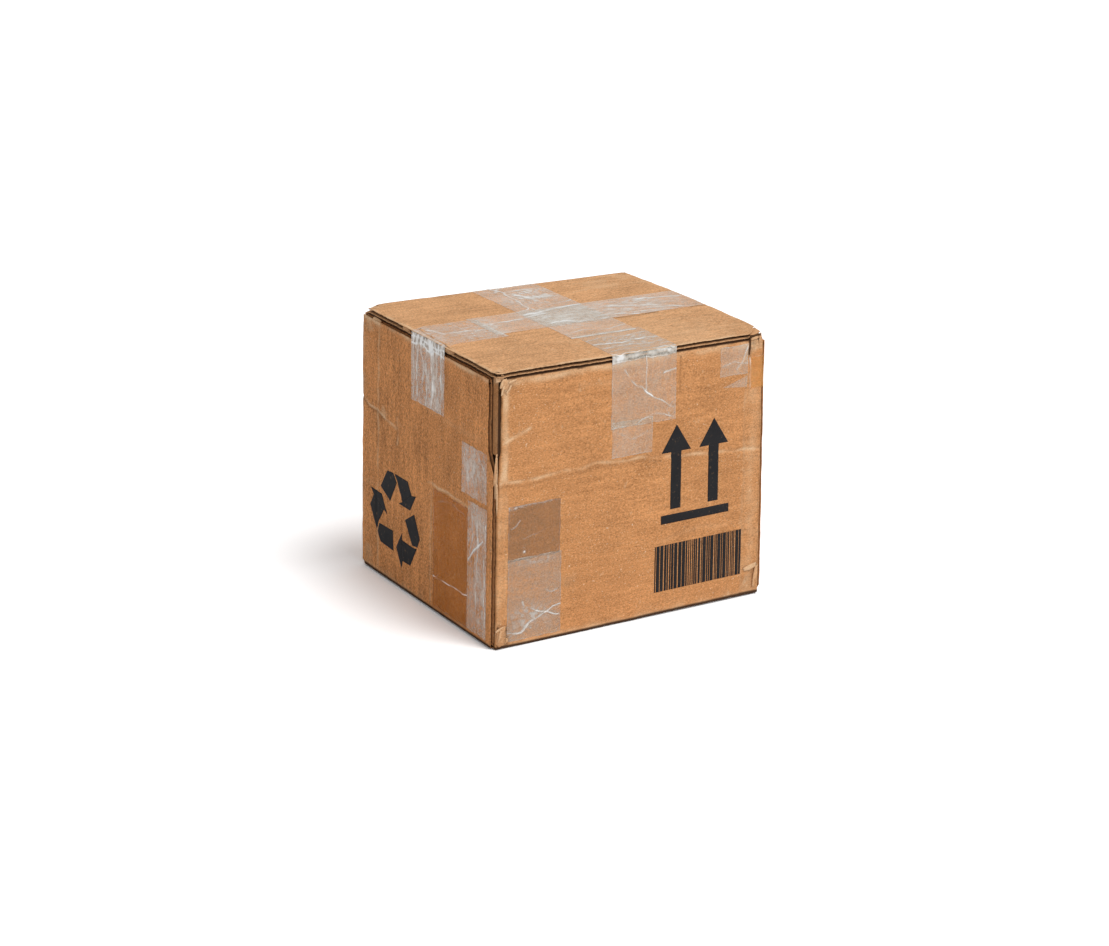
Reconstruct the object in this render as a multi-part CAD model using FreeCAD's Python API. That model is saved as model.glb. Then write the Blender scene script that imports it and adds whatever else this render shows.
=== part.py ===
import FreeCAD, Part
import math
import os
import random

# A small corrugated parcel, folded from one blank and closed with packing tape.
# Millimetres. X runs along the front, Y goes to the back, Z is up.
# The origin is on the ground, at the middle of the base.

# The parcel's outer size, over the board.
length = 200.0
depth = 168.0
height = 175.0

# The board: two liners with a fluted medium between them.
board = 2.6
liner = 0.5
flute_pitch = 6.4
flute_wall = 0.5
flute_reach = 8.0
groove_depth = 3.0
fold_inside = 0.6

# Clearances between layers of the folded board.
layer_gap = 0.4
corner_gap = 1.2

# Flaps and what their raw edges stand back from the front and back faces.
dust_flap = 60.0
tuck_flap = 48.0
tuck_inset = 5.5
left_inset_upper = 7.0
left_inset_lower = 3.0
left_step_low = 112.0
left_step_high = 124.0
right_inset = 1.0

# The torn front right corner of the outer top panel, as points in from its right and front edges.
torn_outline = ((13.0, 0.0), (9.0, 2.0), (5.0, 6.5), (2.5, 11.0), (0.0, 12.0))

# Tape and ink. The tape is drawn a little thicker than real film, so that it can be handled.
film = 0.1
film_step = 0.3
ink = 0.06

# Tape across the top, front to back. Its middle stands to the right of the parcel's middle.
tape_width = 48.0
tape_shift = 3.0
tape_lap_start = 41.0
tape_lap_end = 45.0
tape_front_drop = 47.0
tape_rear_drop = 45.0
fold_steps = 5

# Tape along the top, left to right. Its middle stands behind the parcel's middle.
cross_width = 40.0
cross_shift = 3.5
cross_lap_start = 42.0
cross_lap_end = 47.0
cross_left_drop = 44.0
cross_right_drop = 45.0

# The old patch below the tape on the front: in from the tape's left edge, width, and what shows.
old_patch_in = 5.0
old_patch_width = 30.0
old_patch_shows = 19.0
old_patch_lap = 4.0

# The two patches at the front's lower left corner, from the rounded fold to the right.
corner_upper_width = 37.0
corner_lower_width = 39.0
corner_upper_low = 54.5
corner_upper_height = 35.5
corner_lap = 1.5

# The patch at the front's upper right corner, the sliver below it and the piece round the edge.
# Distances are in from the right face and down from the top.
right_patch = (13.5, 35.0, 6.5, 25.5)
sliver_outline = ((33.0, 32.5), (14.0, 34.5), (13.5, 27.0))
edge_tape_drop = (15.0, 36.0)
edge_tape_lap = 2.5
edge_tape_back = 18.0

# Pieces on the left side, from the panel's raw edge to the back.
piece_inset = 2.0
strip_foot = 0.4
strip_gap = 0.4
long_strip_width = 23.4
long_strip_top = 87.0
ochre_strip_width = 43.7
ochre_strip_top = 81.0
small_patch_gap = 3.0
small_patch_width = 32.0
small_patch_height = 32.0

# The print on the front, in from the right face and up from the ground.
arrow_places = (67.7, 39.0)
arrow_tip = 123.9
arrow_head_base = 106.1
arrow_head_half = 11.2
arrow_shaft_half = 3.9
arrow_foot = 68.0
arrow_bar = (26.5, 78.5, 58.7, 64.5)
stripes = (16.1, 82.6, 13.3, 44.4)
stripe_count = 34
stripe_least = 0.45
stripe_most = 1.5
stripe_seed = 7

# The loop of three folded arrows on the left side, in from the back face and up from the ground,
# and the two halves of one arrow, from the loop's middle, with the first value towards the front.
loop_place = (42.1, 44.1)
loop_tail = ((-20.6, 15.6), (-11.5, 29.8), (-3.8, 30.5), (0.6, 24.7), (-7.7, 9.1))
loop_head = ((-2.3, 30.5), (15.0, 30.5), (20.2, 22.0), (26.0, 23.4), (18.3, 11.0),
             (3.4, 11.0), (7.9, 13.6), (1.6, 25.6))

fold = board + fold_inside
x_end = length / 2
y_face = depth / 2
x_tuck = x_end - board - layer_gap
x_dust = x_end - 2 * board - layer_gap - corner_gap
x_core = x_dust - fold
z_inner = height - board - layer_gap
z_end = height - 2 * board - 2 * layer_gap
z_flaps = z_inner - fold
x_tape = tape_shift - tape_width / 2
y_cross = cross_shift - cross_width / 2
z_tape_end = height - tape_front_drop


def vec(plane, a, b, c=0.0):
    """A point of a profile: a and b lie in the named plane, and c is along its normal."""
    if plane == "yz":
        return FreeCAD.Vector(c, a, b)
    if plane == "xz":
        return FreeCAD.Vector(a, c, b)
    return FreeCAD.Vector(a, b, c)


def along(plane, reach):
    """The vector that a profile in the named plane is extruded by."""
    return vec(plane, 0.0, 0.0, reach)


def rounded_path(plane, points, radius, start):
    """Edges of an open path with right-angle corners, each rounded by the radius."""
    edges = []
    here = points[0]
    for i in range(1, len(points) - 1):
        before = points[i - 1]
        corner = points[i]
        after = points[i + 1]
        back = math.hypot(before[0] - corner[0], before[1] - corner[1])
        ahead = math.hypot(after[0] - corner[0], after[1] - corner[1])
        into = ((before[0] - corner[0]) / back, (before[1] - corner[1]) / back)
        out = ((after[0] - corner[0]) / ahead, (after[1] - corner[1]) / ahead)
        first = (corner[0] + radius * into[0], corner[1] + radius * into[1])
        last = (corner[0] + radius * out[0], corner[1] + radius * out[1])
        bulge = radius * (1 - math.sqrt(0.5))
        middle = (corner[0] + bulge * (into[0] + out[0]), corner[1] + bulge * (into[1] + out[1]))
        edges.append(Part.LineSegment(vec(plane, *here, start), vec(plane, *first, start)).toShape())
        arc = Part.Arc(vec(plane, *first, start), vec(plane, *middle, start), vec(plane, *last, start))
        edges.append(arc.toShape())
        here = last
    edges.append(Part.LineSegment(vec(plane, *here, start), vec(plane, *points[-1], start)).toShape())
    return edges


def bent_board(plane, outer, inner, start, end):
    """Board bent along the outer path, with the inner path one board thickness inside it."""
    outside = rounded_path(plane, outer, fold, start)
    inside = rounded_path(plane, inner, fold_inside, start)
    cap_a = Part.LineSegment(vec(plane, *outer[0], start), vec(plane, *inner[0], start)).toShape()
    cap_b = Part.LineSegment(vec(plane, *outer[-1], start), vec(plane, *inner[-1], start)).toShape()
    wire = Part.Wire(Part.__sortEdges__(outside + [cap_b] + inside + [cap_a]))
    return Part.Face(wire).extrude(along(plane, end - start))


def block(x0, x1, y0, y1, z0, z1):
    """A box between two opposite corners."""
    return Part.makeBox(x1 - x0, y1 - y0, z1 - z0, FreeCAD.Vector(x0, y0, z0))


def prism(plane, points, start, end):
    """A straight prism over a polygon drawn in the named plane."""
    corners = [vec(plane, a, b, start) for a, b in points]
    return Part.Face(Part.makePolygon(corners + corners[:1])).extrude(along(plane, end - start))


def wrap():
    """Top outer, back, bottom, front and top inner panels, between the ends of their folds."""
    outer = [(-y_face, height), (y_face, height), (y_face, 0), (-y_face, 0), (-y_face, z_inner),
             (y_face - board - layer_gap, z_inner)]
    inner = [(-y_face, height - board), (y_face - board, height - board), (y_face - board, board),
             (-y_face + board, board), (-y_face + board, z_inner - board),
             (y_face - board - layer_gap, z_inner - board)]
    return bent_board("yz", outer, inner, -x_core, x_core)


def top_outer_ends():
    """The outer top panel reaches over the end panels, less its torn front right corner."""
    return block(-x_end, x_end, -y_face, y_face - fold, height - board, height)


def torn_corner():
    """What is missing from the outer top panel's front right corner."""
    points = [(x_end - a, -y_face + b) for a, b in torn_outline] + [(x_end, -y_face)]
    return prism("xy", points, height - board, height)


def top_inner_ends():
    """The inner top panel's tuck flaps, which point down behind the end panels."""
    foot = z_inner - tuck_flap
    outer = [(-x_tuck, foot), (-x_tuck, z_inner), (x_tuck, z_inner), (x_tuck, foot)]
    inner = [(-x_tuck + board, foot), (-x_tuck + board, z_inner - board),
             (x_tuck - board, z_inner - board), (x_tuck - board, foot)]
    return bent_board("xz", outer, inner, -y_face + tuck_inset, y_face - tuck_inset)


def left_edge(depth_in=0.0):
    """The left end panel's upright raw edge, from the bottom up, moved in by a depth."""
    low = y_face - left_inset_lower - depth_in
    high = y_face - left_inset_upper - depth_in
    return [(low, fold), (low, left_step_low), (high, left_step_high), (high, z_end)]


def right_edge(depth_in=0.0):
    """The right end panel's upright raw edge, moved in by a depth."""
    return [(y_face - right_inset - depth_in, fold), (y_face - right_inset - depth_in, z_end)]


def bottom_and_ends():
    """The bottom panel with the left and right end panels folded up from it."""
    outer = [(-x_end, z_end), (-x_end, 0), (x_end, 0), (x_end, z_end)]
    inner = [(-x_end + board, z_end), (-x_end + board, board), (x_end - board, board),
             (x_end - board, z_end)]
    reach = y_face - right_inset
    shape = bent_board("xz", outer, inner, -reach, reach)
    edge = left_edge()
    waste = prism("yz", edge + [(y_face, z_end), (y_face, fold)], -x_end, -x_end + board)
    mirrored = waste.mirror(FreeCAD.Vector(0, 0, 0), FreeCAD.Vector(0, 1, 0))
    return shape.cut([waste, mirrored])


def face_with_flaps():
    """The front panel with a dust flap turned back at each end."""
    tip = -y_face + dust_flap
    outer = [(-x_dust, tip), (-x_dust, -y_face), (x_dust, -y_face), (x_dust, tip)]
    inner = [(-x_dust + board, tip), (-x_dust + board, -y_face + board),
             (x_dust - board, -y_face + board), (x_dust - board, tip)]
    return bent_board("xy", outer, inner, fold, z_flaps)


def flute_ends(low, high, base):
    """Outlines of the pockets between liners and medium on a raw edge across the flutes."""
    half = flute_pitch / 2 - flute_wall
    rise = board - 2 * liner - flute_wall
    floor_line = base + liner
    roof_line = base + board - liner
    count = int((high - low) / flute_pitch)
    first = (low + high - count * flute_pitch) / 2 + flute_pitch / 4
    outlines = []
    for i in range(count):
        at = first + i * flute_pitch
        over = at + flute_pitch / 2
        outlines.append([(at - half, floor_line), (at + half, floor_line), (at, floor_line + rise)])
        outlines.append([(over - half, roof_line), (over + half, roof_line), (over, roof_line - rise)])
    return outlines


def top_end_pockets():
    """Flute ends on the left and right raw edges of the outer top panel."""
    high = y_face - fold - board
    left_low = -y_face + groove_depth + flute_wall
    right_low = -y_face + torn_outline[-1][1] + flute_wall
    pockets = []
    for low, start in ((left_low, -x_end), (right_low, x_end - flute_reach)):
        for outline in flute_ends(low, high, height - board):
            pockets.append(prism("yz", outline, start, start + flute_reach))
    return pockets


def end_panel_pockets():
    """Flute ends on the raw top edges of the two end panels."""
    pockets = []
    for base, inset in ((-x_end, left_inset_upper), (x_end - board, right_inset)):
        reach = y_face - inset - groove_depth - flute_wall
        for outline in flute_ends(-reach, reach, base):
            points = [(b, a) for a, b in outline]
            pockets.append(prism("xy", points, z_end - flute_reach, z_end))
    return pockets


def grooves():
    """The open flute along each raw edge that is cut in line with the flutes."""
    cuts = [block(-x_end, x_end, -y_face, -y_face + groove_depth, height - board + liner, height - liner)]
    for x0, edge in ((-x_end + liner, left_edge), (x_end - board + liner, right_edge)):
        outline = edge() + edge(groove_depth)[::-1]
        for side in (-1, 1):
            points = [(side * a, b) for a, b in outline]
            cuts.append(prism("yz", points, x0, x0 + board - 2 * liner))
    return cuts


def carton():
    """The whole folded blank, one piece of board."""
    front = face_with_flaps()
    back = front.mirror(FreeCAD.Vector(0, 0, 0), FreeCAD.Vector(0, 1, 0))
    shape = wrap().fuse([top_outer_ends(), top_inner_ends(), bottom_and_ends(), front, back])
    shape = shape.removeSplitter()
    shape = shape.cut([torn_corner()] + grooves())
    shape = shape.cut(top_end_pockets() + end_panel_pockets())
    return shape


def film_profile(plane, path, start, end, side=1):
    """Tape of one film thickness on the outer side of a path of straight runs."""
    outer = []
    count = len(path)
    for i, (a, b) in enumerate(path):
        normals = []
        for j in (i - 1, i):
            if 0 <= j < count - 1:
                run = (path[j + 1][0] - path[j][0], path[j + 1][1] - path[j][1])
                size = math.hypot(*run)
                normals.append((-side * run[1] / size, side * run[0] / size))
        if len(normals) == 1:
            shift = normals[0]
        else:
            total = (normals[0][0] + normals[1][0], normals[0][1] + normals[1][1])
            spread = 1 + normals[0][0] * normals[1][0] + normals[0][1] * normals[1][1]
            shift = (total[0] / spread, total[1] / spread)
        outer.append((a + film * shift[0], b + film * shift[1]))
    return prism(plane, list(path) + outer[::-1], start, end)


def fold_points(centre, radius, first, last):
    """Points just outside a rounded fold, so that straight film runs touch it and don't cut it."""
    step = math.radians(last - first) / fold_steps
    grown = radius / math.cos(step / 2)
    points = []
    for i in range(fold_steps):
        turn = math.radians(first) + step * (i + 0.5)
        points.append((centre[0] + grown * math.cos(turn), centre[1] + grown * math.sin(turn)))
    return points


def tape_front():
    """The front piece of the tape across the top."""
    step = z_tape_end + old_patch_lap + film_step
    path = [(-y_face + tape_lap_end, height), (-y_face, height), (-y_face, step),
            (-y_face - film, step), (-y_face - film, z_tape_end)]
    return film_profile("yz", path, x_tape, x_tape + tape_width, side=-1)


def tape_rear():
    """The rear piece of the tape across the top, lapped over the front piece."""
    lap = -y_face + tape_lap_end + film_step
    bend = fold_points((y_face - fold, height - fold), fold, 90, 0)
    path = [(-y_face + tape_lap_start, height + film), (lap, height + film), (lap, height)]
    path += bend + [(y_face, height - tape_rear_drop)]
    return film_profile("yz", path, x_tape, x_tape + tape_width)


def tape_left():
    """The left piece of the tape along the top, lapped over the right piece."""
    lap = -x_end + cross_lap_start - film_step
    path = [(-x_end, height - cross_left_drop), (-x_end, height), (lap, height), (lap, height + film),
            (-x_end + cross_lap_end, height + film)]
    return film_profile("xz", path, y_cross, y_cross + cross_width)


def tape_right():
    """The right piece of the tape along the top, which passes over the tape across the top."""
    up = x_tape - film_step
    down = x_tape + tape_width + film_step
    path = [(-x_end + cross_lap_start, height), (up, height), (up, height + film),
            (down, height + film), (down, height), (x_end, height), (x_end, height - cross_right_drop)]
    return film_profile("xz", path, y_cross, y_cross + cross_width)


def old_patch():
    """An older patch on the front, lapped under by the end of the tape."""
    left = x_tape + old_patch_in
    return block(left, left + old_patch_width, -y_face - film, -y_face,
                 z_tape_end - old_patch_shows, z_tape_end + old_patch_lap)


def corner_patch_upper():
    """The upper patch at the front's lower left corner."""
    return block(-x_core, -x_core + corner_upper_width, -y_face - film, -y_face,
                 corner_upper_low, corner_upper_low + corner_upper_height)


def corner_patch_lower():
    """The lower patch there, lapped over the upper one."""
    lap = corner_upper_low - film_step
    path = [(-y_face, fold + strip_foot), (-y_face, lap), (-y_face - film, lap),
            (-y_face - film, corner_upper_low + corner_lap)]
    return film_profile("yz", path, -x_core, -x_core + corner_lower_width)


def from_right(points, thickness):
    """A thin prism on the front, over points in from the right face and down from the top."""
    return prism("xz", [(x_end - a, height - b) for a, b in points], -y_face - thickness, -y_face)


def right_piece():
    """The patch at the front's upper right corner."""
    near, far, high, low = right_patch
    return from_right([(near, high), (far, high), (far, low), (near, low)], film)


def edge_tape():
    """The brown piece that bridges the front right edge."""
    high, low = edge_tape_drop
    path = [(x_core - edge_tape_lap, -y_face), (x_end, -y_face), (x_end, -y_face + edge_tape_back)]
    return film_profile("xy", path, height - low, height - high, side=-1)


def left_piece(near, width, low, high):
    """A flat piece on the left side."""
    return block(-x_end - film, -x_end, near, near + width, low, high)


def left_pieces():
    """The three pieces on the left side, near the front."""
    near = -y_face + left_inset_upper + piece_inset
    next_to = near + long_strip_width + strip_gap
    foot = fold + strip_foot
    above = long_strip_top + small_patch_gap
    return {
        "small_patch": left_piece(near, small_patch_width, above, above + small_patch_height),
        "long_strip": left_piece(near, long_strip_width, foot, long_strip_top),
        "ochre_strip": left_piece(next_to, ochre_strip_width, foot, ochre_strip_top),
    }


def printed(points):
    """Ink on the front, over points in from the right face and up from the ground."""
    return prism("xz", [(x_end - a, b) for a, b in points], -y_face - ink, -y_face)


def printed_block(near, far, low, high):
    """A printed rectangle on the front."""
    return printed([(near, low), (far, low), (far, high), (near, high)])


def up_arrow_print():
    """Two up arrows over a bar."""
    outline = [(0, arrow_tip), (arrow_head_half, arrow_head_base), (arrow_shaft_half, arrow_head_base),
               (arrow_shaft_half, arrow_foot), (-arrow_shaft_half, arrow_foot),
               (-arrow_shaft_half, arrow_head_base), (-arrow_head_half, arrow_head_base)]
    solids = [printed([(place + a, b) for a, b in outline]) for place in arrow_places]
    return Part.makeCompound(solids + [printed_block(*arrow_bar)])


def stripe_print():
    """A block of upright stripes of uneven width, which encode nothing."""
    near, far, low, high = stripes
    draw = random.Random(stripe_seed)
    widths = [draw.uniform(stripe_least, stripe_most) for _ in range(2 * stripe_count - 1)]
    scale = (far - near) / sum(widths)
    solids = []
    at = near
    for i, width in enumerate(widths):
        if i % 2 == 0:
            solids.append(printed_block(at, at + width * scale, low, high))
        at += width * scale
    return Part.makeCompound(solids)


def loop_print():
    """Three folded arrows that chase each other round a loop."""
    solids = []
    for third in range(3):
        turn = math.radians(-120 * third)
        for half in (loop_tail, loop_head):
            points = []
            for a, b in half:
                ahead = a * math.cos(turn) - b * math.sin(turn)
                rise = a * math.sin(turn) + b * math.cos(turn)
                points.append((y_face - loop_place[0] - ahead, loop_place[1] + rise))
            solids.append(prism("yz", points, -x_end - ink, -x_end))
    return Part.makeCompound(solids)


parts = {
    "carton": carton(),
    "tape_front": tape_front(),
    "tape_rear": tape_rear(),
    "tape_left": tape_left(),
    "tape_right": tape_right(),
    "old_patch": old_patch(),
    "corner_patch_upper": corner_patch_upper(),
    "corner_patch_lower": corner_patch_lower(),
    "right_patch": right_piece(),
    "tape_sliver": from_right(sliver_outline, film),
    "edge_tape": edge_tape(),
    "up_arrow_print": up_arrow_print(),
    "stripe_print": stripe_print(),
    "loop_print": loop_print(),
}
parts.update(left_pieces())

os.makedirs("parts", exist_ok=True)
for name, shape in parts.items():
    shape.exportStep("parts/" + name + ".step")
    print(name, "solids", len(shape.Solids), "valid", shape.isValid(), "volume", round(shape.Volume, 2))
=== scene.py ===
import math
import random

import bmesh
import bpy
import numpy as np
from mathutils import Matrix

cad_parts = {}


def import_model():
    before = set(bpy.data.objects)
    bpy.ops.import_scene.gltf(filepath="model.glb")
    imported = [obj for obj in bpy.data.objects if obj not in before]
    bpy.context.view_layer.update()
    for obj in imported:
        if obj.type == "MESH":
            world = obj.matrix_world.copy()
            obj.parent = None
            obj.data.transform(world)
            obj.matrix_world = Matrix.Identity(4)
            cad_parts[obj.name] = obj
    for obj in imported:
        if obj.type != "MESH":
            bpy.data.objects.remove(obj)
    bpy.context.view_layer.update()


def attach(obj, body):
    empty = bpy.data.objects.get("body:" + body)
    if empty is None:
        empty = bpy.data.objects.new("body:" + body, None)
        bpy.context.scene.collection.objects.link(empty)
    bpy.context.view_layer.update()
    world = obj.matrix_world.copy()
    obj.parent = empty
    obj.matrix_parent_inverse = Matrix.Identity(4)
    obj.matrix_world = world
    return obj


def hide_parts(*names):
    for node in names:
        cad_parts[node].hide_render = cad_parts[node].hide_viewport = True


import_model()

# The looks of the taped parcel. Sizes are in millimetres, in the row frame, until a mesh is made.
# Face coordinates: front is (from left, up), left is (from front, up), top is (from left, from front).

MM = 0.001

# The sizes that part.py also has.
x_end = 100.0
y_face = 84.0
height = 175.0
board = 2.6
fold = 3.2
bottom_fold = 1.4
x_tuck = 97.0
z_inner = 172.0
z_end = 169.0
film = 0.1
ink = 0.06
flute_pitch = 6.4

# How far the real corners stand inside the ideal box, by side, front or back, and foot or top.
corner_shift = {
    (0, 0, 0): (0.79, 0.0, 0.0),
    (0, 1, 0): (1.0, 0.0, 0.0),
    (0, 0, 1): (0.03, 0.0, -0.2),
    (0, 1, 1): (1.58, 0.0, 0.0),
    (1, 0, 1): (-4.22, 2.94, -0.8),
    (1, 1, 1): (-1.35, 0.0, -1.03),
}

# How far the left side's surface drifts to the front in its middle.
left_drift = 3.2

# How high the painted shade shows where the foot turns under.
foot_shade_height = 2.5

# Grid steps.
fine = 0.9
coarse = 2.6
film_step = 0.55


# Random fields and lines.

def smooth_noise(a, b, size, seed):
    """A smooth random field between -1 and 1, with features of one size."""
    table = np.random.default_rng(seed).uniform(-1, 1, (64, 64))
    a = np.asarray(a)
    b = np.asarray(b)
    u = (0.8 * a + 0.6 * b) / size + 640.37
    v = (0.8 * b - 0.6 * a) / size + 640.71
    i = np.floor(u).astype(int)
    j = np.floor(v).astype(int)
    p = u - i
    q = v - j
    p = p * p * (3 - 2 * p)
    q = q * q * (3 - 2 * q)
    low = table[i % 64, j % 64] * (1 - p) + table[(i + 1) % 64, j % 64] * p
    high = table[i % 64, (j + 1) % 64] * (1 - p) + table[(i + 1) % 64, (j + 1) % 64] * p
    return low * (1 - q) + high * q


def rough_noise(a, b, size, seed):
    """Three octaves of the smooth field."""
    total = smooth_noise(a, b, size, seed)
    total = total + 0.5 * smooth_noise(a, b, size / 2, seed + 1)
    total = total + 0.25 * smooth_noise(a, b, size / 4, seed + 2)
    return total / 1.75


def line_distance(a, b, points):
    """The distance from each place to a line of straight runs."""
    best = np.full(np.shape(a), 1e9)
    for (a0, b0), (a1, b1) in zip(points, points[1:]):
        da = a1 - a0
        db = b1 - b0
        t = np.clip(((a - a0) * da + (b - b0) * db) / (da * da + db * db + 1e-9), 0, 1)
        best = np.minimum(best, np.hypot(a - a0 - t * da, b - b0 - t * db))
    return best


# Marks on the board, by face. Lines: points, half width, depth, pale, dark.
# Spots: place, radius, depth, pale, dark.

front_lines = [
    (((190, 20), (190.4, 90), (190, 150)), 4.5, 0.0, 0.35, 0.0),
    (((184.6, 4), (184.8, 90), (184.4, 150)), 0.8, 0.25, 0.35, 0.1),
    (((134, 143), (133.6, 155), (134.4, 167)), 0.7, 0.1, 0.0, 0.28),
    # The dark line along the top is painted shade under the top's overhanging edge.
    (((0, 172.6), (200, 172.6)), 0.9, 0.0, 0.0, 0.9),
    (((4, 6), (4.6, 60), (4, 110)), 2.2, 0.0, 0.3, 0.0),
    (((6.4, 108), (6.8, 140), (6.4, 168)), 2.3, 0.0, 0.85, 0.0),
    (((10, 167.8), (100, 168.4), (190, 167.8)), 1.9, 0.0, 0.75, 0.0),
    (((2, 105), (40, 106.8), (82, 107.7), (120, 104.5), (161, 101), (198, 97)), 1.0, 0.4, 0.85, 0.0),
    (((4.2, 129.7), (12, 133), (24, 138.5)), 1.0, 0.35, 1.0, 0.0),
    (((2, 102.5), (60, 105), (82, 105.6), (120, 102.3)), 1.3, 0.0, 0.0, 0.22),
    (((120, 47), (150, 52), (190, 49)), 2.0, 0.15, 0.15, 0.0),
    (((60, 160), (80, 158), (100, 161)), 2.0, 0.15, 0.12, 0.0),
    (((178, 152), (184, 160), (189, 167)), 1.0, 0.3, 0.5, 0.0),
    (((187, 160), (190, 166), (192, 175)), 1.5, 0.5, 0.3, 0.3),
    (((197.4, 20), (197.8, 90), (197.2, 160)), 0.7, 0.2, 0.0, 0.35),
    (((185, 3), (190, 9), (199, 12)), 2.0, 0.6, 0.5, 0.1),
    (((188, 16), (193, 13), (199, 18)), 1.6, 0.6, 0.4, 0.2),
    (((8, 1.0), (60, 1.4), (120, 0.8), (190, 1.2)), 1.6, 0.1, 0.5, 0.0),
    (((8.2, 20), (8.4, 90), (8.0, 165)), 1.1, 0.0, 0.3, 0.0),
]
front_spots = [
    ((4, 7), 5.5, 1.2, 0.0, 0.3),
    ((2.5, 12.5), 2.0, 0.8, 0.0, 0.6),
    ((9.5, 4), 1.6, 0.6, 0.0, 0.5),
    ((4.5, 163.5), 3.2, 0.7, 0.0, 0.35),
    ((11, 166), 1.6, 0.4, 0.0, 0.35),
    ((54, 33), 3.0, 0.1, 0.0, 0.2),
    ((7, 168), 5.0, 0.5, 0.7, 0.0),
    ((190, 5), 7.0, 0.9, 0.3, 0.1),
    ((54, 35), 5.5, 0.1, 0.15, 0.0),
    ((21.4, 59.7), 1.6, 0.1, 0.9, 0.0),
    ((193, 168), 5.0, 0.6, 0.5, 0.1),
]
left_lines = [
    (((148, 4), (148.6, 60), (147.6, 120), (148, 168)), 0.9, 0.35, 0.6, 0.0),
    (((149.6, 4), (150.2, 60), (149.2, 120), (149.6, 168)), 0.7, 0.0, 0.0, 0.1),
    (((168, 116), (158, 112), (150, 111), (140, 109), (126, 105)), 0.8, 0.45, 0.95, 0.0),
    (((168, 114.6), (158, 110.6), (150, 109.6), (140, 107.6)), 0.8, 0.2, 0.0, 0.4),
    (((80, 6), (80.6, 40), (80, 80)), 0.9, 0.2, 0.5, 0.0),
    (((124.5, 96), (124, 104), (124.6, 111.6)), 0.9, 0.4, 0.7, 0.0),
    (((126, 96), (125.6, 104), (126.2, 111.6)), 0.7, 0.0, 0.0, 0.3),
    # The pale band along the top is wear and a painted highlight of the rounded top edge.
    (((2, 168.2), (60, 168), (110, 168.4), (166, 168)), 1.3, 0.0, 0.95, 0.0),
    (((32, 82.6), (54, 83), (84, 82.4)), 0.8, 0.2, 1.0, 0.0),
    (((20, 130), (50, 128), (100, 131)), 2.0, 0.15, 0.12, 0.0),
    (((110, 60), (130, 64), (160, 58)), 2.2, 0.15, 0.12, 0.0),
    (((100, 2), (130, 1.6), (166, 2.2)), 1.4, 0.1, 0.4, 0.0),
]
left_spots = [
    ((124.5, 104), 5.0, 0.6, 0.0, 0.1),
    ((140, 112), 4.0, 0.2, 0.4, 0.0),
    ((160, 8), 6.0, 0.4, 0.3, 0.1),
    ((160, 164), 5.0, 0.5, 0.4, 0.1),
]
top_lines = [
    # The pale line along the front edge is a painted highlight of the edge, and the worn liner edge.
    (((2, 0.7), (60, 0.9), (120, 0.7), (196, 0.9)), 1.0, 0.1, 1.0, 0.0),
    (((0.9, 4), (1.1, 80), (0.9, 156)), 1.0, 0.1, 0.9, 0.0),
    (((100, 163), (150, 162), (196, 161)), 1.6, 0.2, 0.35, 0.0),
    (((130, 69), (146, 68.4), (162, 69.4)), 0.8, 0.2, 0.0, 0.5),
    (((188, 69), (196, 68.6), (204, 69)), 0.8, 0.2, 0.0, 0.5),
    (((140, 20), (170, 24), (196, 20)), 2.0, 0.2, 0.15, 0.0),
    (((20, 40), (50, 44), (76, 40)), 2.2, 0.15, 0.12, 0.0),
    (((140, 135), (165, 141), (196, 138)), 1.2, 0.2, 0.4, 0.0),
    (((138, 150), (160, 154), (190, 150)), 1.0, 0.15, 0.35, 0.0),
]
top_spots = [
    ((130, 20), 60.0, 0.0, 0.22, 0.0),
    ((165, 145), 14.0, 0.2, 0.25, 0.0),
    ((190, 155), 8.0, 0.3, 0.3, 0.0),
    ((4, 164), 6.0, 1.0, 0.4, 0.1),
    ((4, 5), 5.0, 0.5, 0.4, 0.0),
]


def face_marks(a, b, lines, spots):
    """Depth, paleness and darkness that the marks give a face."""
    depth = np.zeros(np.shape(a))
    pale = np.zeros(np.shape(a))
    dark = np.zeros(np.shape(a))
    wobble_a = a + 1.1 * smooth_noise(a, b, 9, 501)
    wobble_b = b + 1.1 * smooth_noise(a, b, 9, 502)
    broken = np.clip(0.65 + 0.6 * smooth_noise(a, b, 7, 503), 0, 1)
    for points, width, deep, lighter, darker in lines:
        near = np.exp(-(line_distance(wobble_a, wobble_b, points) / width) ** 2)
        depth += deep * near
        pale += lighter * near * broken
        dark += darker * near
    for place, radius, deep, lighter, darker in spots:
        away = np.hypot(wobble_a - place[0], wobble_b - place[1])
        near = np.exp(-(away / radius) ** 2)
        depth += deep * near
        ragged = np.clip(near * 2 + rough_noise(a, b, 3, 504) - 0.6, 0, 1)
        pale += lighter * ragged
        dark += darker * near
    return depth, np.clip(pale, 0, 1), np.clip(dark, 0, 1)


def edge_wear(a, b, width, tall, seed):
    """Dips and paleness along the four edges of a face."""
    away = np.minimum(np.minimum(a, width - a), np.minimum(b, tall - b))
    near = np.exp(-np.clip(away, 0, None) / 3.0)
    depth = near * (0.08 + 0.4 * np.clip(smooth_noise(a, b, 11, seed), 0, 1))
    pale = near * np.clip(0.1 + 0.8 * rough_noise(a, b, 8, seed + 1), 0, 1)
    return depth, pale


def face_relief(a, b, width, tall, lines, spots, seed):
    """How deep a face lies under its plane, with its paleness and darkness."""
    depth, pale, dark = face_marks(a, b, lines, spots)
    more, worn = edge_wear(a, b, width, tall, seed)
    swell = 0.18 + 0.1 * smooth_noise(a, b, 55, seed + 2) + 0.06 * smooth_noise(a, b, 14, seed + 3)
    return depth + more + swell, np.clip(pale + worn, 0, 1), dark


def washboard(across, seed, along):
    """The faint waves that the flutes leave in a liner."""
    return 0.03 * (1 + np.sin(2 * math.pi * across / flute_pitch + smooth_noise(across, along, 60, seed)))


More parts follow.
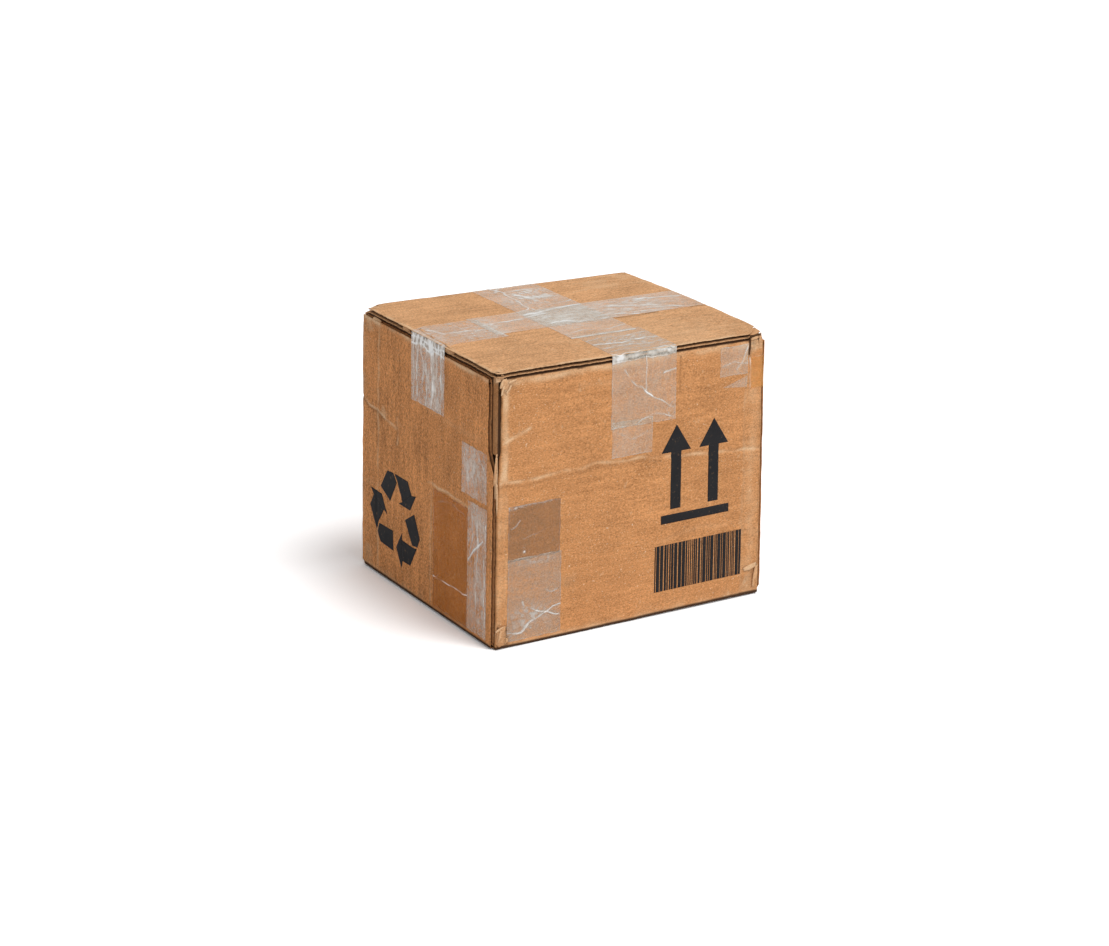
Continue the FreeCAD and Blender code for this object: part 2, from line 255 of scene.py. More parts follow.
def surface_marks(place, normal):
    """Depth, paleness and darkness at places on the carton, from the faces that they turn to."""
    x = place[..., 0]
    y = place[..., 1]
    z = place[..., 2]
    width = 2 * x_end
    depth_size = 2 * y_face
    faces = (
        (-normal[..., 1], x + x_end, z, width, height, front_lines, front_spots, 11, z),
        (-normal[..., 0], y + y_face, z, depth_size, z_end, left_lines, left_spots, 21, y),
        (normal[..., 2], x + x_end, y + y_face, width, depth_size, top_lines, top_spots, 31, y),
        (normal[..., 1], x + x_end, z, width, height, (), (), 41, z),
        (normal[..., 0], y + y_face, z, depth_size, z_end, (), (), 51, y),
    )
    depth = np.zeros(x.shape)
    pale = np.zeros(x.shape)
    dark = np.zeros(x.shape)
    for facing, a, b, wide, tall, lines, spots, seed, across in faces:
        weight = np.clip(facing, 0, 1) ** 2
        if weight.max() <= 0:
            continue
        deep, lighter, darker = face_relief(a, b, wide, tall, lines, spots, seed)
        deep = deep + washboard(across, seed + 5, a)
        depth += weight * deep
        pale += weight * lighter
        dark += weight * darker
    return depth, pale, dark


def drift_share(place):
    """Where the left side's surface stands nearer to the front than a flat panel's would."""
    on_left = np.clip((-90 - place[..., 0]) / 8, 0, 1)
    along = np.clip((place[..., 1] + y_face) / (2 * y_face), 0, 1)
    return on_left * np.sin(math.pi * along ** 1.3)


def foot_rise(to_right, to_back, z):
    """How much higher the lower part stands over its rounded foot, most at the far corners."""
    all_round = 1.5 * np.clip((130 - z) / 120, 0, 1)
    at_right = 1.7 * to_right * (1 - to_back) * np.clip((150 - z) / 130, 0, 1)
    at_back = 1.5 * to_back * (1 - to_right) * np.clip((90 - z) / 80, 0, 1)
    return np.clip(z / 13, 0, 1) ** 0.8 * (all_round + at_right + at_back)


def lean(place):
    """Moves places with the real corners of the parcel, which isn't quite square."""
    shares = (
        np.clip((place[..., 0] + x_end) / (2 * x_end), 0, 1),
        np.clip((place[..., 1] + y_face) / (2 * y_face), 0, 1),
        np.clip(place[..., 2] / height, 0, 1),
    )
    moved = place.copy()
    for corner, shift in corner_shift.items():
        weight = 1.0
        for axis, side in enumerate(corner):
            share = shares[axis] if side else 1 - shares[axis]
            bowed = axis == 1 and corner[0] == 1
            weight = weight * share ** (2.2 if bowed else 1)
        for axis in range(3):
            moved[..., axis] += weight * shift[axis]
    moved[..., 1] -= left_drift * drift_share(place)
    moved[..., 2] += foot_rise(shares[0], shares[1], place[..., 2])
    return moved


# Meshes.

def make_object(name, verts, faces, attributes=None):
    """A closed mesh object from places in millimetres."""
    mesh = bpy.data.meshes.new(name)
    mesh.from_pydata((lean(verts) * MM).tolist(), [], faces)
    for key, values in (attributes or {}).items():
        layer = mesh.attributes.new(key, "FLOAT", "POINT")
        layer.data.foreach_set("value", np.asarray(values, dtype=np.float32))
    work = bmesh.new()
    work.from_mesh(mesh)
    bmesh.ops.recalc_face_normals(work, faces=work.faces)
    work.to_mesh(mesh)
    work.free()
    mesh.polygons.foreach_set("use_smooth", [True] * len(mesh.polygons))
    obj = bpy.data.objects.new(name, mesh)
    bpy.context.scene.collection.objects.link(obj)
    return obj


def trace(points, radius, steps, side=1, arc=8):
    """Samples a path of straight runs with rounded corners: places, outward normals, directions."""
    place = []
    normal = []
    direction = []
    points = [np.array(p, dtype=float) for p in points]
    last = len(points) - 2
    for i in range(last + 1):
        run = points[i + 1] - points[i]
        size = np.hypot(*run)
        run = run / size
        out = side * np.array([-run[1], run[0]])
        start = radius if i > 0 else 0.0
        end = size - (radius if i < last else 0.0)
        count = max(1, round((end - start) / steps[i]))
        for k in range(count + 1):
            place.append(points[i] + run * (start + (end - start) * k / count))
            normal.append(out)
            direction.append(run)
        if i < last:
            centre = points[i + 1] - run * radius - out * radius
            for k in range(1, arc):
                turn = math.pi / 2 * k / arc
                way = out * math.cos(turn) + run * math.sin(turn)
                place.append(centre + way * radius)
                normal.append(way)
                direction.append(run * math.cos(turn) - out * math.sin(turn))
    return np.array(place), np.array(normal), np.array(direction)


plane_axes = {"yz": (1, 2, 0), "xz": (0, 2, 1), "xy": (0, 1, 2)}


def spread(plane, path, low, high, shares):
    """Lays a traced path out across its plane: places, normals and directions of a grid."""
    a_axis, b_axis, c_axis = plane_axes[plane]
    place, normal, direction = path
    rows = len(place)
    low = np.broadcast_to(low, rows)
    high = np.broadcast_to(high, rows)
    grid = np.zeros((rows, len(shares), 3))
    out = np.zeros_like(grid)
    along = np.zeros_like(grid)
    for axis, k in ((a_axis, 0), (b_axis, 1)):
        grid[..., axis] = place[:, k][:, None]
        out[..., axis] = normal[:, k][:, None]
        along[..., axis] = direction[:, k][:, None]
    grid[..., c_axis] = low[:, None] + (high - low)[:, None] * np.asarray(shares)[None, :]
    across = np.zeros_like(grid)
    across[..., c_axis] = 1.0
    return grid, out, along, across


def border(rows, columns):
    """Row and column numbers round the edge of a grid."""
    i = [0] * columns + list(range(1, rows)) + [rows - 1] * (columns - 1) + list(range(rows - 2, 0, -1))
    j = list(range(columns)) + [columns - 1] * (rows - 1) + list(range(columns - 2, -1, -1))
    j += [0] * (rows - 2)
    return np.array(i), np.array(j)


def inward(rows, columns, along, across):
    """The direction into the sheet at each place on its edge."""
    i, j = border(rows, columns)
    way = np.zeros((len(i), 3))
    way += (i == 0)[:, None] * along[i, j]
    way -= (i == rows - 1)[:, None] * along[i, j]
    way += (j == 0)[:, None] * across[i, j]
    way -= (j == columns - 1)[:, None] * across[i, j]
    return way


def grid_quads(rows, columns):
    """Vertex numbers of a grid, by row and column, and the corners of its cells."""
    index = np.arange(rows * columns).reshape(rows, columns)
    quads = np.stack([index[:-1, :-1], index[:-1, 1:], index[1:, 1:], index[1:, :-1]], -1)
    return index, quads.reshape(-1, 4)


def thin_shell(front, back):
    """Vertices and faces of a thin closed sheet, from the grids of its two sides."""
    rows, columns = front.shape[:2]
    count = rows * columns
    index, quads = grid_quads(rows, columns)
    ring = index[border(rows, columns)]
    rim = np.stack([ring, np.roll(ring, -1), np.roll(ring, -1) + count, ring + count], -1)
    faces = quads.tolist() + (quads[:, ::-1] + count).tolist() + rim.tolist()
    return np.concatenate([front.reshape(-1, 3), back.reshape(-1, 3)]), faces


def close_sheet(front, loops):
    """Vertices and faces of a sheet whose edge goes on through loops to a back made of rows."""
    rows, columns = front.shape[:2]
    i, j = border(rows, columns)
    count = len(i)
    verts = [front.reshape(-1, 3)] + list(loops)
    index, quads = grid_quads(rows, columns)
    faces = quads.tolist()
    ring = index[i, j]
    base = rows * columns
    for loop in loops:
        this = np.arange(base, base + count)
        quads = np.stack([ring, this, np.roll(this, -1), np.roll(ring, -1)], -1)
        faces += quads.tolist()
        ring = this
        base += count
    right = [ring[columns - 1 + k] for k in range(rows)]
    left = [ring[0]] + [ring[2 * (columns - 1) + 2 * (rows - 1) - k] for k in range(1, rows)]
    faces.append([int(v) for v in list(ring[:columns]) + [right[1], left[1]]])
    for k in range(1, rows - 2):
        faces.append([int(left[k]), int(right[k]), int(right[k + 1]), int(left[k + 1])])
    tail = ring[columns - 1 + rows - 1:2 * (columns - 1) + rows]
    faces.append([int(left[rows - 2]), int(right[rows - 2])] + [int(v) for v in tail])
    return np.concatenate(verts), faces


def shares_for(size, step):
    """Even steps across a size, from 0 to 1."""
    return np.linspace(0, 1, max(2, round(size / step) + 1))


thick_edge = ((0.0, 0.8), (-0.8, 1.0), (-0.8, 1.5), (0.0, 1.8), (0.0, 4.0))
plain_edge = ((0.0, 0.3), (0.0, 0.8))
raw_edge = ((0.0, 0.3), (-3.5, 0.3), (-3.5, 2.15), (0.0, 2.15), (0.0, 2.65))


def bent_panel(plane, path, low, high, shares, rim=raw_edge, trim=None, shade=None):
    """A bent sheet of board with raw grooved edges. shade gives painted shade, added to its darkness."""
    grid, out, along, across = spread(plane, path, low, high, shares)
    if trim is not None:
        grid = trim(grid)
    depth, pale, dark = surface_marks(grid, out)
    if shade is not None:
        dark = np.maximum(dark, shade(grid, out))
    front = grid - out * depth[..., None]
    rows, columns = front.shape[:2]
    i, j = border(rows, columns)
    way = inward(rows, columns, along, across)
    loops = [front[i, j] - a * way - b * out[i, j] for a, b in rim]
    torn = 0.22 * rough_noise(i + 1.7 * j, i * 0, 3, 88)
    loops = [loop + torn[:, None] * (out[i, j] + 0.9 * way) for loop in loops]
    verts, faces = close_sheet(front, loops)
    extra = len(verts) - rows * columns
    # The rim loops set back into the sheet, the groove between the liners, are painted black as shade; the
    # rest of the rim is a little darker.
    inside = np.concatenate([np.full(len(i), 1.0 if a < 0 else 0.2) for a, b in rim])
    attributes = {
        "pale": np.concatenate([pale.ravel(), np.full(extra, 0.1)]),
        "dark": np.concatenate([dark.ravel(), inside]),
    }
    return verts, faces, attributes


def rounded_line(low, high, r_low, r_high, step, arc=6):
    """Places, drops and turns along a face between two rounded folds."""
    middle = np.linspace(low + r_low, high - r_high, max(2, round((high - low - r_low - r_high) / step)))
    turns = np.linspace(0, math.pi / 2, arc + 1)[1:]
    first = [(low + r_low - r_low * math.sin(t), r_low * (1 - math.cos(t)), -math.sin(t)) for t in turns]
    last = [(high - r_high + r_high * math.sin(t), r_high * (1 - math.cos(t)), math.sin(t)) for t in turns]
    rows = first[::-1] + [(m, 0.0, 0.0) for m in middle] + last
    return np.array(rows)


tray_walls = ((0.0, 2.6), (2.6, 2.9), (2.6, 10.0))


def tray(x_span, z_span, x_radii, z_radii, face, way, step, right_lift=0.0, trim=None, shade=None):
    """A face with four rounded folds that turn back, as a closed shallow box. way is 1 to the back.
    right_lift is how high its foot stands at the right."""
    xs = rounded_line(*x_span, *x_radii, step)
    zs = rounded_line(*z_span, *z_radii, step)
    rows = len(xs)
    columns = len(zs)
    grid = np.zeros((rows, columns, 3))
    out = np.zeros_like(grid)
    grid[..., 0] = xs[:, 0][:, None]
    grid[..., 2] = zs[:, 0][None, :]
    drop = xs[:, 1][:, None] + zs[:, 1][None, :]
    grid[..., 1] = face - way * drop
    out[..., 0] = xs[:, 2][:, None]
    out[..., 2] = zs[:, 2][None, :]
    out[..., 1] = way * np.sqrt(np.clip(1 - out[..., 0] ** 2 - out[..., 2] ** 2, 0.02, 1))
    out /= np.linalg.norm(out, axis=-1, keepdims=True)
    if trim is not None:
        grid = trim(grid)
    depth, pale, dark = surface_marks(grid, out)
    if shade is not None:
        dark = np.maximum(dark, shade(grid, out))
    front = grid - out * depth[..., None]
    x = front[..., 0]
    lifted = right_lift * np.clip((x + 10) / 60, 0, 1) * np.clip(1 - front[..., 2] / 12, 0, 1)
    ragged = 0.3 * np.clip(rough_noise(x, x * 0, 8, 66), 0, 1) * np.clip(1 - front[..., 2] / 5, 0, 1)
    front[..., 2] = np.maximum(front[..., 2], z_span[0]) + lifted + ragged
    i, j = border(rows, columns)
    way_in = np.zeros((len(i), 3))
    way_in[:, 0] += 1.0 * (i == 0) - 1.0 * (i == rows - 1)
    way_in[:, 2] += 1.0 * (j == 0) - 1.0 * (j == columns - 1)
    loops = []
    for a, b in tray_walls:
        loop = front[i, j] + a * way_in
        loop[:, 1] = way * np.minimum(way * loop[:, 1], way * face - b)
        loops.append(loop)
    verts, faces = close_sheet(front, loops)
    ring = len(i)
    # The turned-back walls are painted dark, the first at half and the rest fully, as shade in the gaps
    # behind the face.
    attributes = {
        "pale": np.concatenate([pale.ravel(), np.zeros(3 * ring)]),
        "dark": np.concatenate([dark.ravel(), np.full(ring, 0.5), np.full(2 * ring, 1.0)]),
    }
    return verts, faces, attributes


def join(parts):
    """Joins lists of vertices, faces and attributes into one set."""
    verts = []
    faces = []
    attributes = {}
    base = 0
    for v, f, marks in parts:
        verts.append(v)
        faces += [[k + base for k in face] for face in f]
        for key in ("pale", "dark"):
            attributes.setdefault(key, []).append(marks.get(key, np.zeros(len(v))))
        base += len(v)
    return np.concatenate(verts), faces, {k: np.concatenate(v) for k, v in attributes.items()}


scrap_low = (-100.0, -84.1, 0.1)
scrap_high = (100.0, 84.0, 175.1)


def scrap(corner, along, across, curl, seed, pale):
    """A small torn bit that lifts from the board, inside the parcel's box. Below zero, pale is dark, for
    bits that are painted shade.
    """
    corner, along, across = (np.array(v, dtype=float) for v in (corner, along, across))
    s = np.linspace(0, 1, 9)[:, None, None]
    t = np.linspace(0, 1, 5)[None, :, None]
    normal = np.cross(along, across)
    normal /= np.linalg.norm(normal)
    if normal[1] > 0:
        normal = -normal
    wave = smooth_noise(s[..., 0] * 9, t[..., 0] * 5, 2.4, seed)[..., None]
    taper = 0.55 + 0.45 * np.sin(math.pi * (0.15 + 0.7 * s)) + 0.2 * wave
    grid = corner + s * along + (0.5 + (t - 0.5) * taper) * across + normal * (curl * s * s + 0.35 * wave)
    verts, faces = thin_shell(grid, grid - normal * 0.3)
    verts = np.clip(verts, scrap_low, scrap_high)
    marks = {"pale": np.full(len(verts), max(pale, 0)), "dark": np.full(len(verts), max(-pale, 0))}
    return verts, faces, marks


scraps = (
    ((-96.8, 3, 174.8), (1.2, 17, 0.2), (1.9, 0.2, 0.1), 0.2, 330, 0.45),
    ((-97.8, -17, 174.8), (0.9, 21, 0.2), (1.7, 0.1, 0.1), 0.2, 331, 0.25),
    ((-98.6, -31, 174.7), (0.8, 16, 0.3), (2.1, 0.1, 0.1), 0.2, 332, 0.55),
    ((-98.6, -80.9, 96), (0.6, 0.5, 26), (1.5, -1.0, 0.3), 0.8, 301, 0.9),
    ((-99.3, -80.2, 104), (0.8, -1.2, 17), (1.3, -0.6, 0.4), 0.6, 302, 0.5),
    ((-97.9, -82.8, 86), (-0.5, 0.6, 20), (1.1, -0.4, 0), 0.4, 303, 0.8),
    ((-98.8, -82.0, 112), (0.4, 0.8, 12), (1.6, 0.5, 0.6), 0.7, 304, 0.6),
    ((-99.2, -82.6, 168.8), (5.5, 0.2, 1.0), (0.4, 1.5, 3.0), 0.5, 305, 0.9),
    ((-97.5, -83.7, 165), (1.5, 0.1, 5.5), (3.8, 0, 0.5), 0.6, 306, 0.8),
    ((-94.5, -83.9, 164), (-0.5, 0.1, 5.5), (2.6, 0, 0.2), 0.5, 307, 0.5),
    ((-97.4, -83.8, 2.2), (6.5, 0, 0.6), (0.6, 0.2, 11), 0.9, 308, 0.3),
    ((-96.5, -83.8, 3), (1.0, 0.2, 8), (3.6, 0, 0.3), 0.8, 309, 0.6),
    ((87.5, -83.6, 164), (8.5, 0.6, 2.0), (0.5, 1.0, 6.8), 0.5, 310, 0.6),
    ((90.5, -82.4, 170.5), (6.5, 1.0, 0.9), (0.3, 3.2, 2.4), 0.5, 311, 0.5),
    ((94.5, -83.5, 160), (0.6, 0.4, 12), (2.6, 0.5, 0), 0.5, 312, 0.4),
    ((86, -83.9, 17), (10, 0, 2.6), (1.0, -0.1, -3.2), 0.5, 313, 0.9),
    ((93.5, -83.7, 4), (1.6, 0, 13), (3.0, 0.5, 0), 0.7, 314, 0.5),
    # These two near-black bits are painted shade in the gap at the torn top right corner.
    ((87.0, -83.9, 161), (0.3, 0.1, 11.2), (1.5, 0.1, 0.4), 0.2, 320, -0.95),
    ((88.4, -83.2, 172.0), (9, 1.6, 0.3), (0.2, 0.2, 1.1), 0.2, 321, -0.95),
    ((-97.6, -83.4, 10), (5.2, -0.3, 2.2), (-0.4, -0.3, 1.6), 0.5, 322, 0.9),
    ((-96.8, -83.3, 5.5), (1.2, -0.5, 6.4), (3.0, 0.2, 0), 0.7, 323, 0.35),
    ((-95.0, -83.4, 1.6), (5.6, -0.4, 1.6), (0.4, 0.0, 3.4), 0.6, 324, 0.55),
    ((-93.6, -83.5, 6.5), (3.2, -0.3, 3.2), (-0.9, 0.1, 1.2), 0.6, 325, 0.9),
    ((-96.4, -83.6, 160.5), (1.0, -0.2, 6.0), (1.6, 0, 0.4), 0.6, 326, 0.95),
    ((-93.2, -83.6, 161.5), (3.2, -0.2, 5.2), (1.0, 0, -0.6), 0.6, 327, 0.9),
    ((-91.0, -83.7, 167.5), (5.0, 0, 1.0), (0.2, 0, 1.4), 0.4, 328, 0.9),
    ((88.6, -82.9, 173.3), (10.2, 2.2, 0.2), (-0.4, 8.5, 1.0), 0.3, 318, 0.35),
    ((97.2, -81.5, 160), (0.4, 0.5, 13.2), (1.6, 1.6, 0.2), 0.4, 319, 0.3),
    ((-99.6, -30, 171.6), (0.2, 11, 1.2), (1.2, 0, 1.8), 0.3, 315, 0.6),
    ((-99.6, 26, 171.4), (0.2, 8, 1.4), (1.2, 0, 1.8), 0.3, 316, 0.6),
    ((-99.6, 62, 167.6), (0.1, 9, 0.6), (0.8, 0, 2.6), 0.3, 317, 0.8),
)


def flute_strip(points, depth_way, reach, up, seed):
    """The fluted medium between two liners, as a waved strip that goes back from an edge."""
    start, end = (np.array(p, dtype=float) for p in points)
    depth_way = np.array(depth_way, dtype=float)
    up = np.array(up, dtype=float)
    length = np.linalg.norm(end - start)
    count = int(length / 0.8)
    verts = []
    faces = []
    draw = random.Random(seed)
    for k in range(count + 1):
        s = length * k / count
        wave = 0.52 * math.sin(2 * math.pi * s / flute_pitch) + draw.uniform(-0.05, 0.05)
        middle = start + (end - start) * k / count + up * wave
        near = middle + depth_way * draw.uniform(0.0, 0.8)
        far = middle + depth_way * reach
        verts += [near + up * 0.2, near - up * 0.2, far - up * 0.2, far + up * 0.2]
        if k:
            b = 4 * (k - 1)
            for q in range(4):
                r = (q + 1) % 4
                faces.append([b + q, b + r, b + 4 + r, b + 4 + q])
    faces.append([0, 1, 2, 3])
    b = 4 * count
    faces.append([b, b + 1, b + 2, b + 3])
    verts = np.array(verts)
    # The medium is painted dark, as shade inside the raw edge.
    return verts, faces, {"dark": np.full(len(verts), 0.72)}


# The carton.

def ends_limit(path, side):
    """How far the end panels and the bottom reach to the front or back, row by row."""
    x = path[0][:, 0]
    z = path[0][:, 1]
    step = np.clip((z - 112) / 12, 0, 1)
    left = np.where(side < 0, 81 - 6 * step, 83.6)
    reach = np.where(x < -x_end + 1, left, np.where(x > x_end - 1, 83.4, 80.0))
    ramp = np.clip(np.minimum(x + x_end, x_end - x) / 6, 0, 1)
    reach = np.where(z < bottom_fold + 1, np.minimum(reach, 81 - 1.0 * ramp), reach)
    ragged = 0.35 * rough_noise(z, x * 0.3, 5, 61 + side)
    return side * (reach - 0.3 + ragged)


def end_shade(grid, out):
    """Painted shade along the foot of the ends, where they turn under."""
    near_side = np.clip((np.abs(grid[..., 0]) - x_end + 4) / 2, 0, 1)
    return near_side * np.clip((foot_shade_height - grid[..., 2]) / 0.5, 0, 1)


def carton_ends():
    """The left end panel, the bottom and the right end panel."""
    low = 0.45
    path = trace([(-x_end, z_end), (-x_end, low), (x_end, low), (x_end, z_end)], bottom_fold,
                 (fine, 5.0, coarse), side=-1)
    shares = shares_for(160, fine)
    return bent_panel("xz", path, ends_limit(path, -1), ends_limit(path, 1), shares, shade=end_shade)


def top_outline(grid):
    """Pulls the top panel's grid in to its worn and torn outline."""
    x = grid[..., 0]
    y = grid[..., 1]
    a = x + x_end
    b = y + y_face
    tear = np.interp(b, (0, 2, 6.5, 11, 12, 14), (13, 9, 5, 2.5, 0.6, 0.0))
    reach_right = x_end - tear - 0.3 + 0.3 * rough_noise(b, b * 0, 5, 71)
    reach_left = -x_end + 0.4 + 0.35 * rough_noise(b, b * 0, 6, 72) + np.clip((b - 161.5) * 2, 0, 8)
    share = a / (2 * x_end)
    grid[..., 0] = reach_left + (reach_right - reach_left) * share
    front_edge = 0.35 + 0.35 * rough_noise(a, a * 0, 7, 73)
    pull = np.clip(1 - b / 20, 0, 1)
    grid[..., 1] = y + front_edge * pull
    return grid


def carton_top():
    """The outer top panel."""
    back = y_face - fold
    path = trace([(-y_face, height), (back, height)], 0.0, (fine,), side=1)
    shares = shares_for(200, fine)
    panel = bent_panel("yz", path, -x_end, x_end, shares, trim=top_outline)
    middle = height - board / 2 - 0.3
    teeth_left = flute_strip(((-x_end + 1.6, -y_face + 4, middle), (-x_end + 1.6, back - 2, middle)),
                             (1, 0, 0), 3.2, (0, 0, 1), 5)
    teeth_right = flute_strip(((x_end - 1.6, -y_face + 13, middle), (x_end - 1.6, back - 2, middle)),
                              (-1, 0, 0), 3.2, (0, 0, 1), 6)
    return join([panel, teeth_left, teeth_right])


def front_outline(grid):
    """Moves the front's left edge: in by the upper gap, out to the left end's edge lower down."""
    x = grid[..., 0]
    z = grid[..., 2]
    shift = np.interp(z, (0, 86, 97, 118, 126, 165, 172), (-0.6, -0.6, -0.2, 0.5, 1.6, 1.6, 0.8))
    shift = shift + 0.25 * rough_noise(z, z * 0, 6, 74)
    grid[..., 0] = x + shift * np.clip(1 - (x + 97.2) / 8, 0, 1)
    return grid


def front_shade(grid, out):
    """Painted shade under the top's edge and where the front turns under at the foot."""
    z = grid[..., 2]
    edge = 169.9 + 0.5 * rough_noise(grid[..., 0], z * 0, 5, 75)
    under_top = np.clip((z - edge) / 0.4, 0, 1)
    foot = np.clip((foot_shade_height - 0.4 - z) / 0.5, 0, 1)
    return np.maximum(under_top, foot)


def gap_shade(grid, out):
    """Painted shade in the gap beside the front's fold."""
    beside_end = np.clip((grid[..., 1] + 76.4) / 0.8, 0, 1)
    return np.maximum(np.clip(0.25 - 1.4 * out[..., 1], 0, 1), beside_end)


def carton_front():
    """The front panel, with the folds to its flaps, the bottom and the inner top."""
    face = tray((-97.2, 98.7), (0.15, z_inner - 0.5), (1.2, 1.4), (1.2, fold), -y_face, -1, fine,
                right_lift=0.4, trim=front_outline, shade=front_shade)
    path = trace([(-95.4, -82.2), (-97.3, -82.2), (-97.3, -73.8)], 0.9, (0.4, 0.8), side=1)
    post = bent_panel("xy", path, 123, 170.4, shares_for(47, 1.2), rim=plain_edge, shade=gap_shade)
    return join([face, post] + [scrap(*bit) for bit in scraps])


def back_outline(grid):
    """Cuts the back's upper corner on the left, as the top's corner is cut."""
    x = grid[..., 0]
    cut = np.interp(grid[..., 2], (170.5, 172.5, 175), (0.0, 12.0, 6.6))
    grid[..., 0] = x + cut * np.clip(1 - (x + 99.2) / 24, 0, 1)
    return grid


def carton_back():
    """The back panel. Its upper fold goes into the outer top panel."""
    return tray((-99.2, 99.2), (0.4, height), (2.0, 2.0), (1.2, fold), y_face, 1, 2.0, trim=back_outline)


def inner_shade(grid, out):
    """Painted shade on the inner top's rounded ends, deep in the gap under the top."""
    return 0.92 * np.clip((np.abs(grid[..., 0]) - 91) / 3, 0, 1)


def carton_inner():
    """The inner top panel with its two tuck flaps."""
    path = trace([(-x_tuck, 124), (-x_tuck, z_inner), (x_tuck, z_inner), (x_tuck, 124)], fold,
                 (2.0, 6.0, 3.0), side=1)
    shares = shares_for(156, 1.5)
    return bent_panel("xz", path, -75.6, 78.4, shares, rim=thick_edge, shade=inner_shade)


# Materials.

class Nodes:
    """A short way to write the nodes of a material or a world."""

    def __init__(self, owner):
        owner.use_nodes = True
        self.owner = owner
        self.tree = owner.node_tree
        self.tree.nodes.clear()

    def add(self, kind, inputs=None, **settings):
        node = self.tree.nodes.new("ShaderNode" + kind)
        for key, value in settings.items():
            setattr(node, key, value)
        for key, value in (inputs or {}).items():
            socket = node.inputs[key]
            if isinstance(value, bpy.types.NodeSocket):
                self.tree.links.new(value, socket)
            else:
                socket.default_value = value
        return node

    def math(self, operation, a, b=0.0, clamp=False):
        return self.add("Math", {0: a, 1: b}, operation=operation, use_clamp=clamp).outputs[0]

    def total(self, *terms):
        """The sum of values, each times its weight."""
        parts = [self.math("MULTIPLY", value, weight) for value, weight in terms]
        result = parts[0]
        for part in parts[1:]:
            result = self.math("ADD", result, part)
        return result

    def mix(self, share, a, b):
        return self.add("Mix", {0: share, 6: a, 7: b}, data_type="RGBA").outputs[2]

    def stain_and_shade(self, colour, mask, share, tone):
        """Mixes a tone into a colour where a mask is high, for stains and for painted shade."""
        return self.mix(self.math("MULTIPLY", mask, share), colour, tone + (1,))

    def noise(self, vector, scale, detail=3.0, rough=0.55):
        node = self.add("TexNoise", {"Vector": vector, "Scale": scale, "Detail": detail, "Roughness": rough})
        return node.outputs["Fac"]

    def ramp(self, value, low, high):
        node = self.add("MapRange", {"Value": value, "From Min": low, "From Max": high})
        return node.outputs["Result"]

    def place(self, scale=(1, 1, 1)):
        node = self.add("TexCoord")
        return self.add("Mapping", {"Vector": node.outputs["Object"], "Scale": scale}).outputs["Vector"]

    def attribute(self, name):
        return self.add("Attribute", attribute_name=name).outputs["Fac"]

    def finish(self, shader):
        self.add("OutputMaterial", {"Surface": shader})
        return self.owner


def kraft(name, streak, cross, tint, contrast):
    """Brown board. streak and cross are how fine its fibres and its streaks are along each axis."""
    n = Nodes(bpy.data.materials.new(name))
    plain = n.place()
    fibres = n.noise(n.place(streak), 1.0, 4.0, 0.65)
    streaks = n.noise(n.place(cross), 1.0, 3.0, 0.55)
    clouds = n.noise(plain, 38.0, 4.0, 0.55)
    grain = n.noise(plain, 1150.0, 3.0, 0.7)
    flecks = n.ramp(n.noise(n.place(tuple(1.6 * k for k in streak)), 1.0, 1.0, 0.4), 0.66, 0.74)
    pits = n.ramp(n.noise(n.place(tuple(1.3 * k for k in streak)), 1.0, 1.0, 0.4), 0.66, 0.73)
    specks = n.ramp(n.noise(plain, 760.0, 1.0, 0.4), 0.74, 0.79)
    deep = tuple((1 - 0.36 * contrast) * k for k in tint) + (1,)
    bright = tuple((1 + gain * contrast) * k for k, gain in zip(tint, (0.25, 0.31, 0.41))) + (1,)
    share = n.total((fibres, 0.42), (clouds, 0.12), (streaks, 0.16), (grain, 0.3))
    colour = n.mix(n.ramp(share, 0.39, 0.61), deep, bright)
    colour = n.stain_and_shade(colour, flecks, 0.5, (0.80, 0.55, 0.32))
    colour = n.stain_and_shade(colour, pits, 0.6, (0.20, 0.085, 0.03))
    colour = n.stain_and_shade(colour, specks, 0.6, (0.85, 0.68, 0.48))
    pale = n.math("MULTIPLY", n.attribute("pale"), n.ramp(grain, 0.1, 0.55), True)
    colour = n.stain_and_shade(colour, pale, 0.85, (0.80, 0.56, 0.34))
    # The dark attribute holds painted shade in gaps, grooves, under the top's edge and at the foot, besides
    # darker marks on the board.
    colour = n.stain_and_shade(colour, n.attribute("dark"), 0.95, (0.035, 0.015, 0.006))
    relief = n.total((grain, 0.3), (fibres, 0.7))
    bump = n.add("Bump", {"Height": relief, "Strength": 0.5, "Distance": 0.0004})
    shader = n.add("BsdfPrincipled", {"Base Color": colour, "Roughness": 0.88, "Specular IOR Level": 0.2,
                                      "Normal": bump.outputs["Normal"]})
    return n.finish(shader.outputs[0])


